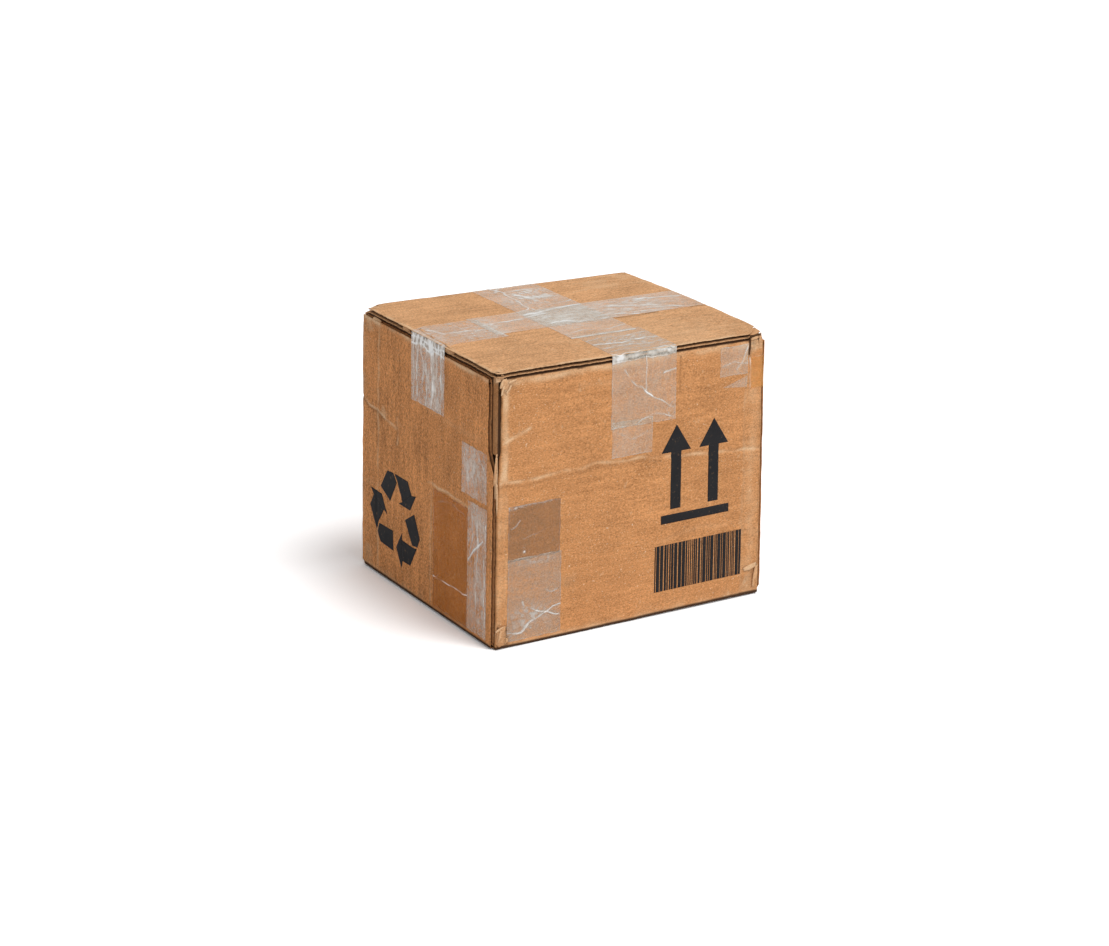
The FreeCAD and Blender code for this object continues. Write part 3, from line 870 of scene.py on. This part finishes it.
def tape_material(name, tint, thin, thick, gloss, streak):
    """Film that shows the board through it, with white creases. thin and thick are its cover."""
    n = Nodes(bpy.data.materials.new(name))
    plain = n.place()
    clouds = n.noise(plain, 60.0, 4.0, 0.6)
    streaks = n.noise(n.place(streak), 1.0, 4.0, 0.65)
    fine_grain = n.noise(plain, 700.0, 2.0, 0.5)
    white = n.attribute("pale")
    share = n.ramp(n.total((clouds, 0.35), (streaks, 0.35), (fine_grain, 0.3)), 0.41, 0.59)
    specks = n.ramp(n.noise(plain, 640.0, 1.0, 0.4), 0.74, 0.79)
    white = n.math("ADD", white, n.math("MULTIPLY", specks, 0.35), True)
    cover = n.add("MapRange", {"Value": share, "To Min": thin, "To Max": thick}).outputs["Result"]
    cover = n.math("ADD", cover, n.math("MULTIPLY", white, 0.75), True)
    bright = tuple(min(1, 1.3 * k) for k in tint) + (1,)
    colour = n.mix(n.math("MULTIPLY", fine_grain, 0.5), tint + (1,), bright)
    colour = n.mix(white, colour, (0.93, 0.92, 0.90, 1))
    bump = n.add("Bump", {"Height": streaks, "Strength": 0.5, "Distance": 0.0006})
    shader = n.add("BsdfPrincipled", {"Base Color": colour, "Roughness": gloss, "Alpha": cover,
                                      "Specular IOR Level": 0.35, "Normal": bump.outputs["Normal"]})
    return n.finish(shader.outputs[0])


def ink_material():
    """Black print, a little worn."""
    n = Nodes(bpy.data.materials.new("print_ink"))
    plain = n.place()
    worn = n.ramp(n.noise(plain, 480.0, 2.0, 0.6), 0.62, 0.80)
    patches = n.noise(plain, 70.0, 3.0, 0.5)
    colour = n.mix(patches, (0.012, 0.012, 0.014, 1), (0.026, 0.025, 0.026, 1))
    colour = n.stain_and_shade(colour, worn, 0.5, (0.22, 0.13, 0.07))
    bump = n.add("Bump", {"Height": patches, "Strength": 0.2, "Distance": 0.0002})
    shader = n.add("BsdfPrincipled", {"Base Color": colour, "Roughness": 0.62, "Specular IOR Level": 0.12,
                                      "Normal": bump.outputs["Normal"]})
    return n.finish(shader.outputs[0])


tint_side = (0.590, 0.260, 0.094)
tint_end = (0.628, 0.252, 0.081)
tint_top = (0.690, 0.352, 0.155)
kraft_front = kraft("kraft_front", (620, 1150, 1150), (35, 300, 300), tint_side, 1.15)
kraft_top = kraft("kraft_top", (620, 1150, 1150), (35, 300, 300), tint_top, 1.35)
kraft_ends = kraft("kraft_ends", (1150, 1150, 620), (300, 300, 35), tint_end, 1.75)
clear_tint = (0.72, 0.66, 0.55)
clear_front = tape_material("clear_film_front", clear_tint, 0.08, 0.19, 0.32, (400, 400, 120))
clear_low = tape_material("clear_film_low", (0.50, 0.45, 0.37), 0.09, 0.22, 0.32, (300, 500, 300))
clear_side = tape_material("clear_film_side", (0.80, 0.68, 0.57), 0.0, 0.36, 0.32, (230, 230, 24))
clear_top = tape_material("clear_film_top", (0.88, 0.79, 0.69), 0.10, 0.25, 0.32, (60, 300, 300))
old_film = tape_material("old_film", (0.36, 0.20, 0.10), 0.20, 0.34, 0.5, (300, 300, 120))
ochre_film = tape_material("ochre_film", (0.56, 0.18, 0.005), 0.20, 0.32, 0.5, (500, 500, 60))
edge_film = tape_material("edge_film", (0.80, 0.37, 0.09), 0.12, 0.30, 0.5, (300, 300, 60))
print_ink = ink_material()


# Finished pieces.

def dress(obj, material, slot, *nodes):
    """Gives a piece its material and body, and hides the CAD nodes that it stands for. slot is not used."""
    obj.data.materials.append(material)
    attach(obj, "root")
    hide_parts(*nodes)
    return obj


for name, build, material in (
    ("carton_front", carton_front, kraft_front),
    ("carton_ends", carton_ends, kraft_ends),
    ("carton_top", carton_top, kraft_top),
    ("carton_back", carton_back, kraft_front),
    ("carton_inner", carton_inner, kraft_front),
):
    dress(make_object(name, *build()), material, "kraft_board", "carton")


def film_piece(name, plane, path, low, high, lines, material, slot, seed, lift=0.2, ragged=0.3,
               crumples=(), stretch=1.0):
    """A piece of film that follows the board, with creases. Lines are (across, along) in its own plane,
    with half width, rise and paleness. Crumples are place, radii and paleness, and stretch is how long
    they are along the film."""
    shares = shares_for(abs(high - low), film_step)
    place = path[0]
    steps = np.hypot(*np.diff(place, axis=0).T)
    along_at = np.concatenate([[0], np.cumsum(steps)])
    rough = ragged * rough_noise(along_at, along_at * 0, 5, seed + 80)
    rough_2 = ragged * rough_noise(along_at, along_at * 0, 5, seed + 90)
    grid, out, along, across = spread(plane, path, low + rough, high + rough_2, shares)
    a = (low + (high - low) * shares)[None, :] + 0 * along_at[:, None]
    s = along_at[:, None] + 0 * a
    end_wave = ragged * 1.5 * rough_noise(a, a * 0, 4, seed + 95)
    total = along_at[-1]
    pull = np.clip(1 - s / 6, 0, 1) - np.clip(1 - (total - s) / 6, 0, 1)
    grid = grid + along * (end_wave * pull)[..., None]
    depth = surface_marks(grid, out)[0]
    white = np.zeros(a.shape)
    ridge = np.zeros(a.shape)
    wa = a + 0.9 * smooth_noise(a, s, 6, seed + 10)
    ws = s + 0.9 * smooth_noise(a, s, 6, seed + 11)
    for points, width, rise, lighter in lines:
        near = np.exp(-(line_distance(wa, ws, points) / width) ** 2)
        ridge += rise * near
        white += lighter * near * np.clip(0.7 + 0.6 * smooth_noise(a, s, 5, seed + 12), 0, 1)
    for (ca, cs), (ra, rs), lighter in crumples:
        near = np.exp(-((a - ca) / ra) ** 2 - ((s - cs) / rs) ** 2)
        texture = np.clip(1.7 * np.abs(rough_noise(a, s / stretch, 3.5, seed + 13)) + 0.05, 0, 1)
        white += lighter * near * texture
        ridge += 0.15 * near * rough_noise(a, s / stretch, 3.5, seed + 14)
    edge = np.minimum(np.minimum(a - a.min(), a.max() - a), np.minimum(s, total - s))
    white += 0.3 * np.exp(-edge / 0.4) * np.clip(0.6 + smooth_noise(a, s, 4, seed + 16), 0, 1)
    wrinkle = 0.05 * rough_noise(a, s, 8, seed + 15)
    rise = np.minimum(lift + ridge + wrinkle - depth, film)
    front = grid + out * rise[..., None]
    verts, faces = thin_shell(front, front - out * (0.9 * film))
    white = np.clip(white, 0, 1).ravel()
    obj = make_object(name, verts, faces, {"pale": np.concatenate([white, white])})
    return dress(obj, material, slot, name)


def front_plate(z0, z1):
    """A path down a stretch of the front face."""
    return trace([(-y_face, z1), (-y_face, z0)], 0.0, (film_step,), side=-1)


def left_plate(z0, z1):
    """A path down a stretch of the left face."""
    return trace([(-x_end, z1), (-x_end, z0)], 0.0, (film_step,), side=-1)


# Clear tape across the top, front piece: along runs from the top's lap, 45 mm to the edge, then down.
path = trace([(-39, height), (-y_face, height), (-y_face, 128)], 1.2, (film_step,) * 2, side=-1)
film_piece("tape_front", "yz", path, -17, 31, (
    (((8.3, 49), (8.0, 58), (8.6, 70)), 0.3, 0.1, 1.0),
    (((3.8, 67), (8, 71), (13.5, 74), (20, 77.3), (29.7, 83.8)), 0.32, 0.1, 0.8),
    (((13.5, 74), (10, 72.5), (7.4, 70.5)), 0.5, 0.1, 1.0),
    (((-16, 91.2), (0, 91.5), (6, 88), (16, 86), (29, 89.5)), 0.35, 0.1, 0.6),
    (((-17, 44), (-12, 45.4), (-6, 43.4), (2, 44.4), (9, 42.4), (18, 44), (24, 42), (31, 43)),
     0.32, 0.1, 1.0),
    (((-17, 50), (-9, 49.2), (-2, 49.8), (10, 49), (22, 49.8), (31, 48.8)), 0.3, 0.1, 0.7),
    (((-17, 47.2), (8, 46.6), (31, 46)), 1.7, 0.0, 0.5),
    (((-8, 55), (-4, 62), (4, 68)), 0.35, 0.08, 0.5),
    (((22, 60), (27, 58.6), (31, 59)), 0.4, 0.08, 0.8),
    (((28, 80), (24, 84), (26, 89)), 0.35, 0.08, 0.5),
    (((-16, 22), (-6, 23), (3, 25), (12, 21), (30, 23)), 1.0, 0.1, 0.75),
    (((-15, 12), (-4, 10), (12, 13), (28, 10)), 0.9, 0.1, 0.5),
    (((-16, 31), (2, 30), (20, 33), (31, 30)), 0.8, 0.1, 0.55),
    (((-14, 38), (4, 36.5), (16, 39), (30, 36)), 0.35, 0.1, 0.6),
), clear_front, "clear_tape", seed=101, crumples=(
    ((-13, 47), (5, 3.5), 0.9), ((26, 45), (5, 4), 0.8), ((8, 46.5), (22, 3.5), 0.25),
    ((10, 22), (24, 16), 0.55),
))

# Rear piece: from its lap on the front piece to the back fold and down the back.
path = trace([(-43, height), (y_face, height), (y_face, 130)], fold, (film_step, 1.5), side=1)
film_piece("tape_rear", "yz", path, -21, 27, (
    (((-8, 68), (-8, 80), (-6, 98), (-4, 115), (-8.5, 128)), 0.6, 0.12, 0.9),
    (((-21, 0.8), (0, 0.6), (27, 0.9)), 0.9, 0.05, 0.9),
    (((0, 103), (6.5, 92), (19.5, 93)), 1.7, 0.12, 0.8),
    (((-1.5, 95), (13, 94), (20, 97)), 1.5, 0.1, 0.7),
    (((-15, 118), (-10, 113), (-0.5, 123)), 1.2, 0.1, 0.5),
    (((-8.5, 74), (-13, 69), (-20, 66)), 0.4, 0.12, 1.0),
    (((-3, 69), (12, 74), (26.5, 78)), 0.4, 0.12, 0.8),
    (((-20, 10), (-4, 14), (10, 9), (27, 13)), 0.9, 0.1, 0.45),
    (((-3, 112), (10, 114), (23, 111)), 1.2, 0.1, 0.6),
    (((2, 84), (12, 92), (24, 90)), 0.4, 0.1, 0.5),
), clear_top, "clear_tape", lift=0.3, seed=102, stretch=1.8, crumples=(
    ((10, 108), (14, 4), 0.8), ((0, 40), (24, 16), 0.6), ((4, 90), (20, 16), 0.5),
))

# Left piece: up the left side, over the edge, along the top.
path = trace([(-x_end, 131), (-x_end, height), (-53, height)], 1.2, (film_step,) * 2, side=1)
film_piece("tape_left", "xz", path, -20, 22, (
    (((-16, 0), (-15, 20), (-16, 40)), 0.4, 0.12, 0.5),
    (((-10, 2), (-11.5, 18), (-9, 34)), 0.4, 0.12, 0.6),
    (((-4, 0), (-6, 12), (-3, 30), (-5, 40)), 0.5, 0.12, 0.8),
    (((3, 0), (1.5, 16), (4, 28)), 0.4, 0.12, 0.7),
    (((8, 8), (6, 22), (10, 40)), 0.4, 0.12, 0.8),
    (((14, 2), (15.5, 18), (13, 36)), 0.45, 0.12, 0.8),
    (((19, 0), (18, 20), (20, 38)), 0.35, 0.12, 0.6),
    (((-20, 36), (-10, 38), (0, 36.4), (10, 38.4), (22, 36)), 0.6, 0.1, 1.0),
    (((-20, 41), (-6, 40.2), (8, 41.4), (22, 40.6)), 0.6, 0.1, 0.7),
    (((-18, 90), (-6, 89.4), (9, 90)), 1.0, 0.05, 0.9),
    (((14, 52), (2, 57), (1, 72)), 1.2, 0.1, 0.6),
    (((-18, 70), (0, 74), (20, 70)), 0.35, 0.1, 0.5),
), clear_side, "clear_tape", seed=103, stretch=3.0, crumples=(
    ((0, 40), (24, 4), 2.4), ((0, 50), (18, 4), 0.3), ((-2, 16), (20, 24), 0.6), ((0, 80), (22, 14), 0.4),
))

# Right piece: along the top, over the front-to-back tape, over the right edge and down.
path = trace([(-58, height), (x_end, height), (x_end, 130)], 1.2, (film_step, 1.5), side=1)
film_piece("tape_right", "xz", path, -14, 24, (
    (((16, 38), (17, 45), (17.2, 51)), 1.7, 0.12, 1.0),
    (((15, 45), (20, 59), (23, 73), (23.3, 84)), 1.3, 0.12, 0.95),
    (((-7.4, 43), (-6.2, 54), (-12.6, 62), (-11.5, 74), (-11.7, 82)), 1.0, 0.12, 0.8),
    (((-4.8, 79.5), (-7.7, 92.7), (-13.3, 105.5)), 1.0, 0.12, 0.8),
    (((7.7, 8.8), (8, 22), (10.5, 35), (14.4, 51)), 1.0, 0.12, 0.8),
    (((17.4, 122), (14.7, 138), (12, 153)), 1.2, 0.12, 0.7),
    (((9.9, 97.5), (-0.3, 127.5), (-12.5, 144)), 1.0, 0.12, 0.7),
    (((4, 80), (-7, 92), (-12, 131)), 0.8, 0.12, 0.6),
), clear_top, "clear_tape", lift=0.38, seed=104, stretch=2.4, crumples=(
    ((5, 118), (18, 24), 0.6), ((5, 50), (20, 16), 0.6), ((4, 80), (20, 20), 0.4), ((4, 5), (18, 6), 0.7),
))

film_piece("old_patch", "yz", front_plate(109, 132), -16, 14, (
    (((-12, 8), (0, 12), (12, 9)), 0.6, 0.08, 0.2),
), clear_front, "clear_tape", lift=0.12, seed=105)

film_piece("corner_patch_upper", "yz", front_plate(54.5, 90), -90, -53, (
    (((-87.5, 14), (-84, 12), (-81, 10)), 0.3, 0.05, 0.6),
    (((-80, 22), (-70, 20), (-66, 18)), 0.3, 0.05, 0.25),
), old_film, "old_tape", lift=0.12, seed=106, crumples=(
    ((-86, 1.0), (6, 1.0), 1.2), ((-70, 0.6), (12, 0.6), 0.5), ((-78.6, 30.3), (0.75, 0.75), 1.4),
))

film_piece("corner_patch_lower", "yz", front_plate(3.6, 56), -90, -52, (
    (((-79.2, 28.8), (-77, 32.6), (-72, 35.6), (-62, 38.4), (-53.3, 41.7)), 0.35, 0.12, 0.9),
    (((-90, 47.6), (-80.5, 48.2), (-66.3, 39.8), (-58, 36), (-51.4, 35.5)), 0.35, 0.12, 0.9),
    (((-88, 50), (-80, 47), (-72, 42)), 0.35, 0.1, 0.6),
    (((-62, 24), (-58, 26), (-54, 25)), 0.5, 0.1, 0.7),
), clear_low, "clear_tape", lift=0.22, seed=107, crumples=(
    ((-70, 3), (20, 3), 0.4), ((-75, 40), (14, 8), 0.5),
))

film_piece("right_patch", "yz", front_plate(149.5, 168.5), 65, 86.5, (
    (((78, 16), (84, 8), (86, 2)), 0.5, 0.1, 0.6),
    (((66, 12), (76, 10), (86, 12)), 0.5, 0.08, 0.4),
), clear_front, "clear_tape", lift=0.15, seed=108)

path = trace([(87.5, -y_face), (x_end, -y_face), (x_end, -66)], 2.0, (film_step, 1.2), side=-1)
film_piece("edge_tape", "xy", path, 139, 160, (
    (((140, 0.8), (150, 1.2), (159, 0.8)), 0.5, 0.05, 0.7),
), edge_film, "ochre_tape", lift=0.15, seed=109)

film_piece("small_patch", "xz", left_plate(90, 122), -74, -43, (
    (((-62.6, 2), (-71, 10.4)), 0.7, 0.1, 0.5),
    (((-50, 4), (-52, 26)), 0.6, 0.1, 0.5),
), clear_side, "clear_tape", seed=110, stretch=2.0, crumples=(((-58, 14), (14, 14), 0.45),))

film_piece("long_strip", "xz", left_plate(3.6, 87), -75, -51.6, (
    (((-53, 38.3), (-60, 30), (-69.7, 22)), 0.6, 0.12, 0.9),
    (((-62, 0), (-64, 30), (-61, 80)), 0.6, 0.1, 0.4),
    (((-74, 10), (-72, 40), (-74, 76)), 0.5, 0.1, 0.7),
    (((-56, 2), (-58, 24), (-54.5, 34)), 0.4, 0.1, 0.6),
), clear_side, "clear_tape", seed=111, stretch=2.5, crumples=(
    ((-64, 18), (12, 16), 0.35), ((-68, 60), (10, 24), 0.25),
))

film_piece("ochre_strip", "xz", left_plate(3.6, 81), -51.2, -7.5, (
    (((-51, 57.4), (-30, 58), (-8, 58.6)), 0.4, 0.05, 1.0),
    (((-48, 6), (-30, 3), (-12, 7)), 0.4, 0.05, 0.3),
), ochre_film, "ochre_tape", seed=112)


# The sliver and the prints: flat shapes cut into small cells, so that they follow the board.

def clip(points, axis, limit, keep_above):
    """The part of a convex outline above or below a limit on one axis."""
    kept = []
    for k, here in enumerate(points):
        after = points[(k + 1) % len(points)]
        inside = here[axis] >= limit if keep_above else here[axis] <= limit
        inside_next = after[axis] >= limit if keep_above else after[axis] <= limit
        if inside:
            kept.append(here)
        if inside != inside_next:
            t = (limit - here[axis]) / (after[axis] - here[axis])
            kept.append(tuple(here[m] + t * (after[m] - here[m]) for m in (0, 1)))
    return kept


def cells(outline, step):
    """Cuts a convex outline into cells of one step."""
    parts = [outline]
    for axis in (0, 1):
        values = [p[axis] for p in outline]
        low = math.floor(min(values) / step) * step
        cuts = int(math.ceil((max(values) - low) / step))
        bands = []
        for part in parts:
            for k in range(cuts):
                band = clip(part, axis, low + k * step, True)
                band = clip(band, axis, low + (k + 1) * step, False) if len(band) > 2 else []
                if len(band) > 2:
                    bands.append(band)
        parts = bands
    return parts


def flat_shapes(outlines, to_place, normal, rise, thick, step):
    """Closed thin shells over convex outlines on a face."""
    all_parts = []
    for outline in outlines:
        numbers = {}
        polygons = []
        for part in cells(outline, step):
            ring = []
            for p in part:
                key = (round(p[0], 4), round(p[1], 4))
                k = numbers.setdefault(key, len(numbers))
                if not ring or ring[-1] != k:
                    ring.append(k)
            if len(ring) > 2 and ring[0] == ring[-1]:
                ring.pop()
            if len(set(ring)) > 2:
                polygons.append(ring)
        flat = np.array(list(numbers))
        place = to_place(flat)
        out = np.broadcast_to(np.array(normal, dtype=float), place.shape)
        depth = surface_marks(place, out)[0]
        lift = np.minimum(rise - depth, thick)
        top = place + out * lift[:, None]
        bottom = top - out * (0.8 * thick)
        count = len(flat)
        faces = [list(r) for r in polygons] + [[k + count for k in r[::-1]] for r in polygons]
        edges = dict.fromkeys((v, r[(k + 1) % len(r)]) for r in polygons for k, v in enumerate(r))
        faces += [[w, v, v + count, w + count] for v, w in edges if (w, v) not in edges]
        all_parts.append((np.concatenate([top, bottom]), faces, {}))
    return join(all_parts)


def on_front(flat):
    """Places on the front from (in from the right face, up)."""
    return np.stack([x_end - flat[:, 0], np.full(len(flat), -y_face), flat[:, 1]], -1)


def on_left(flat):
    """Places on the left side from (y, up)."""
    return np.stack([np.full(len(flat), -x_end), flat[:, 0], flat[:, 1]], -1)


def rectangle(near, far, low, high):
    """The corners of a rectangle."""
    return [(near, low), (far, low), (far, high), (near, high)]


print_rise = 0.1
sliver_rise = 0.15
print_cell = 1.3

arrow_places = (67.7, 39.0)
arrow_tip = 123.9
arrow_head_base = 106.1
arrow_head_half = 11.2
arrow_shaft_half = 3.9
arrow_foot = 68.0
arrow_bar = (26.5, 78.5, 58.7, 64.5)

stripe_near = 16.1
stripe_far = 82.6
stripe_low = 13.3
stripe_high = 44.4
stripe_count = 34
black_widths = (0.7, 1.0, 1.5, 2.2)
gap_widths = (0.35, 0.45, 0.7)

loop_middle = (40.4, 45.3)
loop_scale = (0.97, 0.96)
loop_tail = ((-20.6, 15.6), (-11.5, 29.8), (-3.8, 30.5), (0.6, 24.7), (-7.7, 9.1))
loop_shaft = ((-2.3, 30.5), (15.0, 30.5), (20.2, 22.0), (7.9, 13.6), (1.6, 25.6))
loop_point = ((20.2, 22.0), (26.0, 23.4), (18.3, 11.0), (3.4, 11.0), (7.9, 13.6))

sliver_outline = ((33.0, 142.5), (14.0, 140.5), (13.5, 148.0))


def arrow_outlines():
    """Two up arrows over a bar."""
    outlines = [rectangle(*arrow_bar)]
    for at in arrow_places:
        near = at - arrow_head_half
        far = at + arrow_head_half
        outlines.append([(at, arrow_tip), (near, arrow_head_base), (far, arrow_head_base)])
        outlines.append(rectangle(at - arrow_shaft_half, at + arrow_shaft_half, arrow_foot, arrow_head_base))
    return outlines


def stripe_outlines():
    """A block of upright stripes of uneven width, which encode nothing."""
    draw = random.Random(7)
    widths = [draw.choice(gap_widths if k % 2 else black_widths) for k in range(2 * stripe_count - 1)]
    scale = (stripe_far - stripe_near) / sum(widths)
    outlines = []
    at = stripe_near
    for k, width in enumerate(widths):
        if k % 2 == 0:
            outlines.append(rectangle(at, at + width * scale, stripe_low, stripe_high))
        at += width * scale
    return outlines


def loop_outlines():
    """Three folded arrows that chase each other round a loop."""
    outlines = []
    for third in range(3):
        turn = math.radians(-120 * third)
        for half in (loop_tail, loop_shaft, loop_point):
            outline = []
            for a, b in half:
                ahead = a * math.cos(turn) - b * math.sin(turn)
                rise = a * math.sin(turn) + b * math.cos(turn)
                outline.append((loop_middle[0] - loop_scale[0] * ahead,
                                loop_middle[1] + loop_scale[1] * rise))
            outlines.append(outline)
    return outlines


def print_piece(name, outlines, to_place, normal):
    """A piece of black print on a face."""
    obj = make_object(name, *flat_shapes(outlines, to_place, normal, print_rise, ink, print_cell))
    dress(obj, print_ink, "black_ink", name)


print_piece("up_arrow_print", arrow_outlines(), on_front, (0, -1, 0))
print_piece("stripe_print", stripe_outlines(), on_front, (0, -1, 0))
print_piece("loop_print", loop_outlines(), on_left, (-1, 0, 0))
sliver = flat_shapes([sliver_outline], on_front, (0, -1, 0), sliver_rise, film, print_cell)
dress(make_object("tape_sliver", *sliver), clear_front, "clear_tape", "tape_sliver")


# Floor, light and camera.

floor_half = 8
floor_colour = (0.86, 0.86, 0.87, 1)
floor_seen = (1.34, 1.34, 1.35, 1)


def floor():
    """A plain pale floor that keeps the shadow."""
    mesh = bpy.data.meshes.new("floor")
    h = floor_half
    mesh.from_pydata([(-h, -h, 0), (h, -h, 0), (h, h, 0), (-h, h, 0)], [], [(0, 1, 2, 3)])
    obj = bpy.data.objects.new("floor", mesh)
    bpy.context.scene.collection.objects.link(obj)
    n = Nodes(bpy.data.materials.new("floor_white"))
    seen = n.add("LightPath").outputs["Is Camera Ray"]
    colour = n.mix(seen, floor_colour, floor_seen)
    diffuse = n.add("BsdfDiffuse", {"Color": colour})
    mesh.materials.append(n.finish(diffuse.outputs[0]))


def sun(name, way, strength, angle):
    """A soft distant light. way points from the object to the light."""
    lamp = bpy.data.lights.new(name, "SUN")
    lamp.energy = strength
    lamp.angle = math.radians(angle)
    obj = bpy.data.objects.new(name, lamp)
    bpy.context.scene.collection.objects.link(obj)
    back = np.array(way, dtype=float)
    back /= np.linalg.norm(back)
    side = np.cross((0, 0, 1), back)
    side /= np.linalg.norm(side)
    up = np.cross(back, side)
    obj.matrix_world = Matrix([[side[k], up[k], back[k], back[k] * 2] for k in range(3)] + [[0, 0, 0, 1]])


def world(strength):
    """Even light from all round, and white behind the parcel."""
    scene_world = bpy.data.worlds.new("studio")
    bpy.context.scene.world = scene_world
    n = Nodes(scene_world)
    seen = n.add("LightPath").outputs["Is Camera Ray"]
    light = n.add("Background", {"Color": (1, 1, 1, 1), "Strength": strength}).outputs[0]
    white = n.add("Background", {"Color": (1, 1, 1, 1), "Strength": 1.0}).outputs[0]
    mix = n.add("MixShader", {0: seen, 1: light, 2: white})
    n.add("OutputWorld", {"Surface": mix.outputs[0]})


def camera(azimuth, elevation, roll, lens, place):
    """The photograph's camera."""
    data = bpy.data.cameras.new("camera")
    data.lens = lens
    data.sensor_width = 36
    data.sensor_fit = "HORIZONTAL"
    data.clip_start = 0.01
    data.clip_end = 100
    obj = bpy.data.objects.new("camera", data)
    bpy.context.scene.collection.objects.link(obj)
    a = math.radians(azimuth)
    e = math.radians(elevation)
    r = math.radians(roll)
    back = np.array([math.sin(a) * math.cos(e), -math.cos(a) * math.cos(e), math.sin(e)])
    right = np.array([math.cos(a), math.sin(a), 0.0])
    up = np.cross(back, right)
    side = math.cos(r) * right + math.sin(r) * up
    top = -math.sin(r) * right + math.cos(r) * up
    rows = [[side[k], top[k], back[k], place[k] * MM] for k in range(3)]
    obj.matrix_world = Matrix(rows + [[0, 0, 0, 1]])
    bpy.context.scene.camera = obj


floor()
world(strength=0.45)
sun("key", way=(0.21, -0.35, 1.0), strength=1.45, angle=25)
sun("front_fill", way=(0.25, -0.95, 0.35), strength=0.95, angle=60)
camera(azimuth=-32.5319, elevation=19.0390, roll=1.4842, lens=82.372, place=(-826.15, -1287.66, 599.87))
bpy.context.scene.view_settings.view_transform = "Standard"
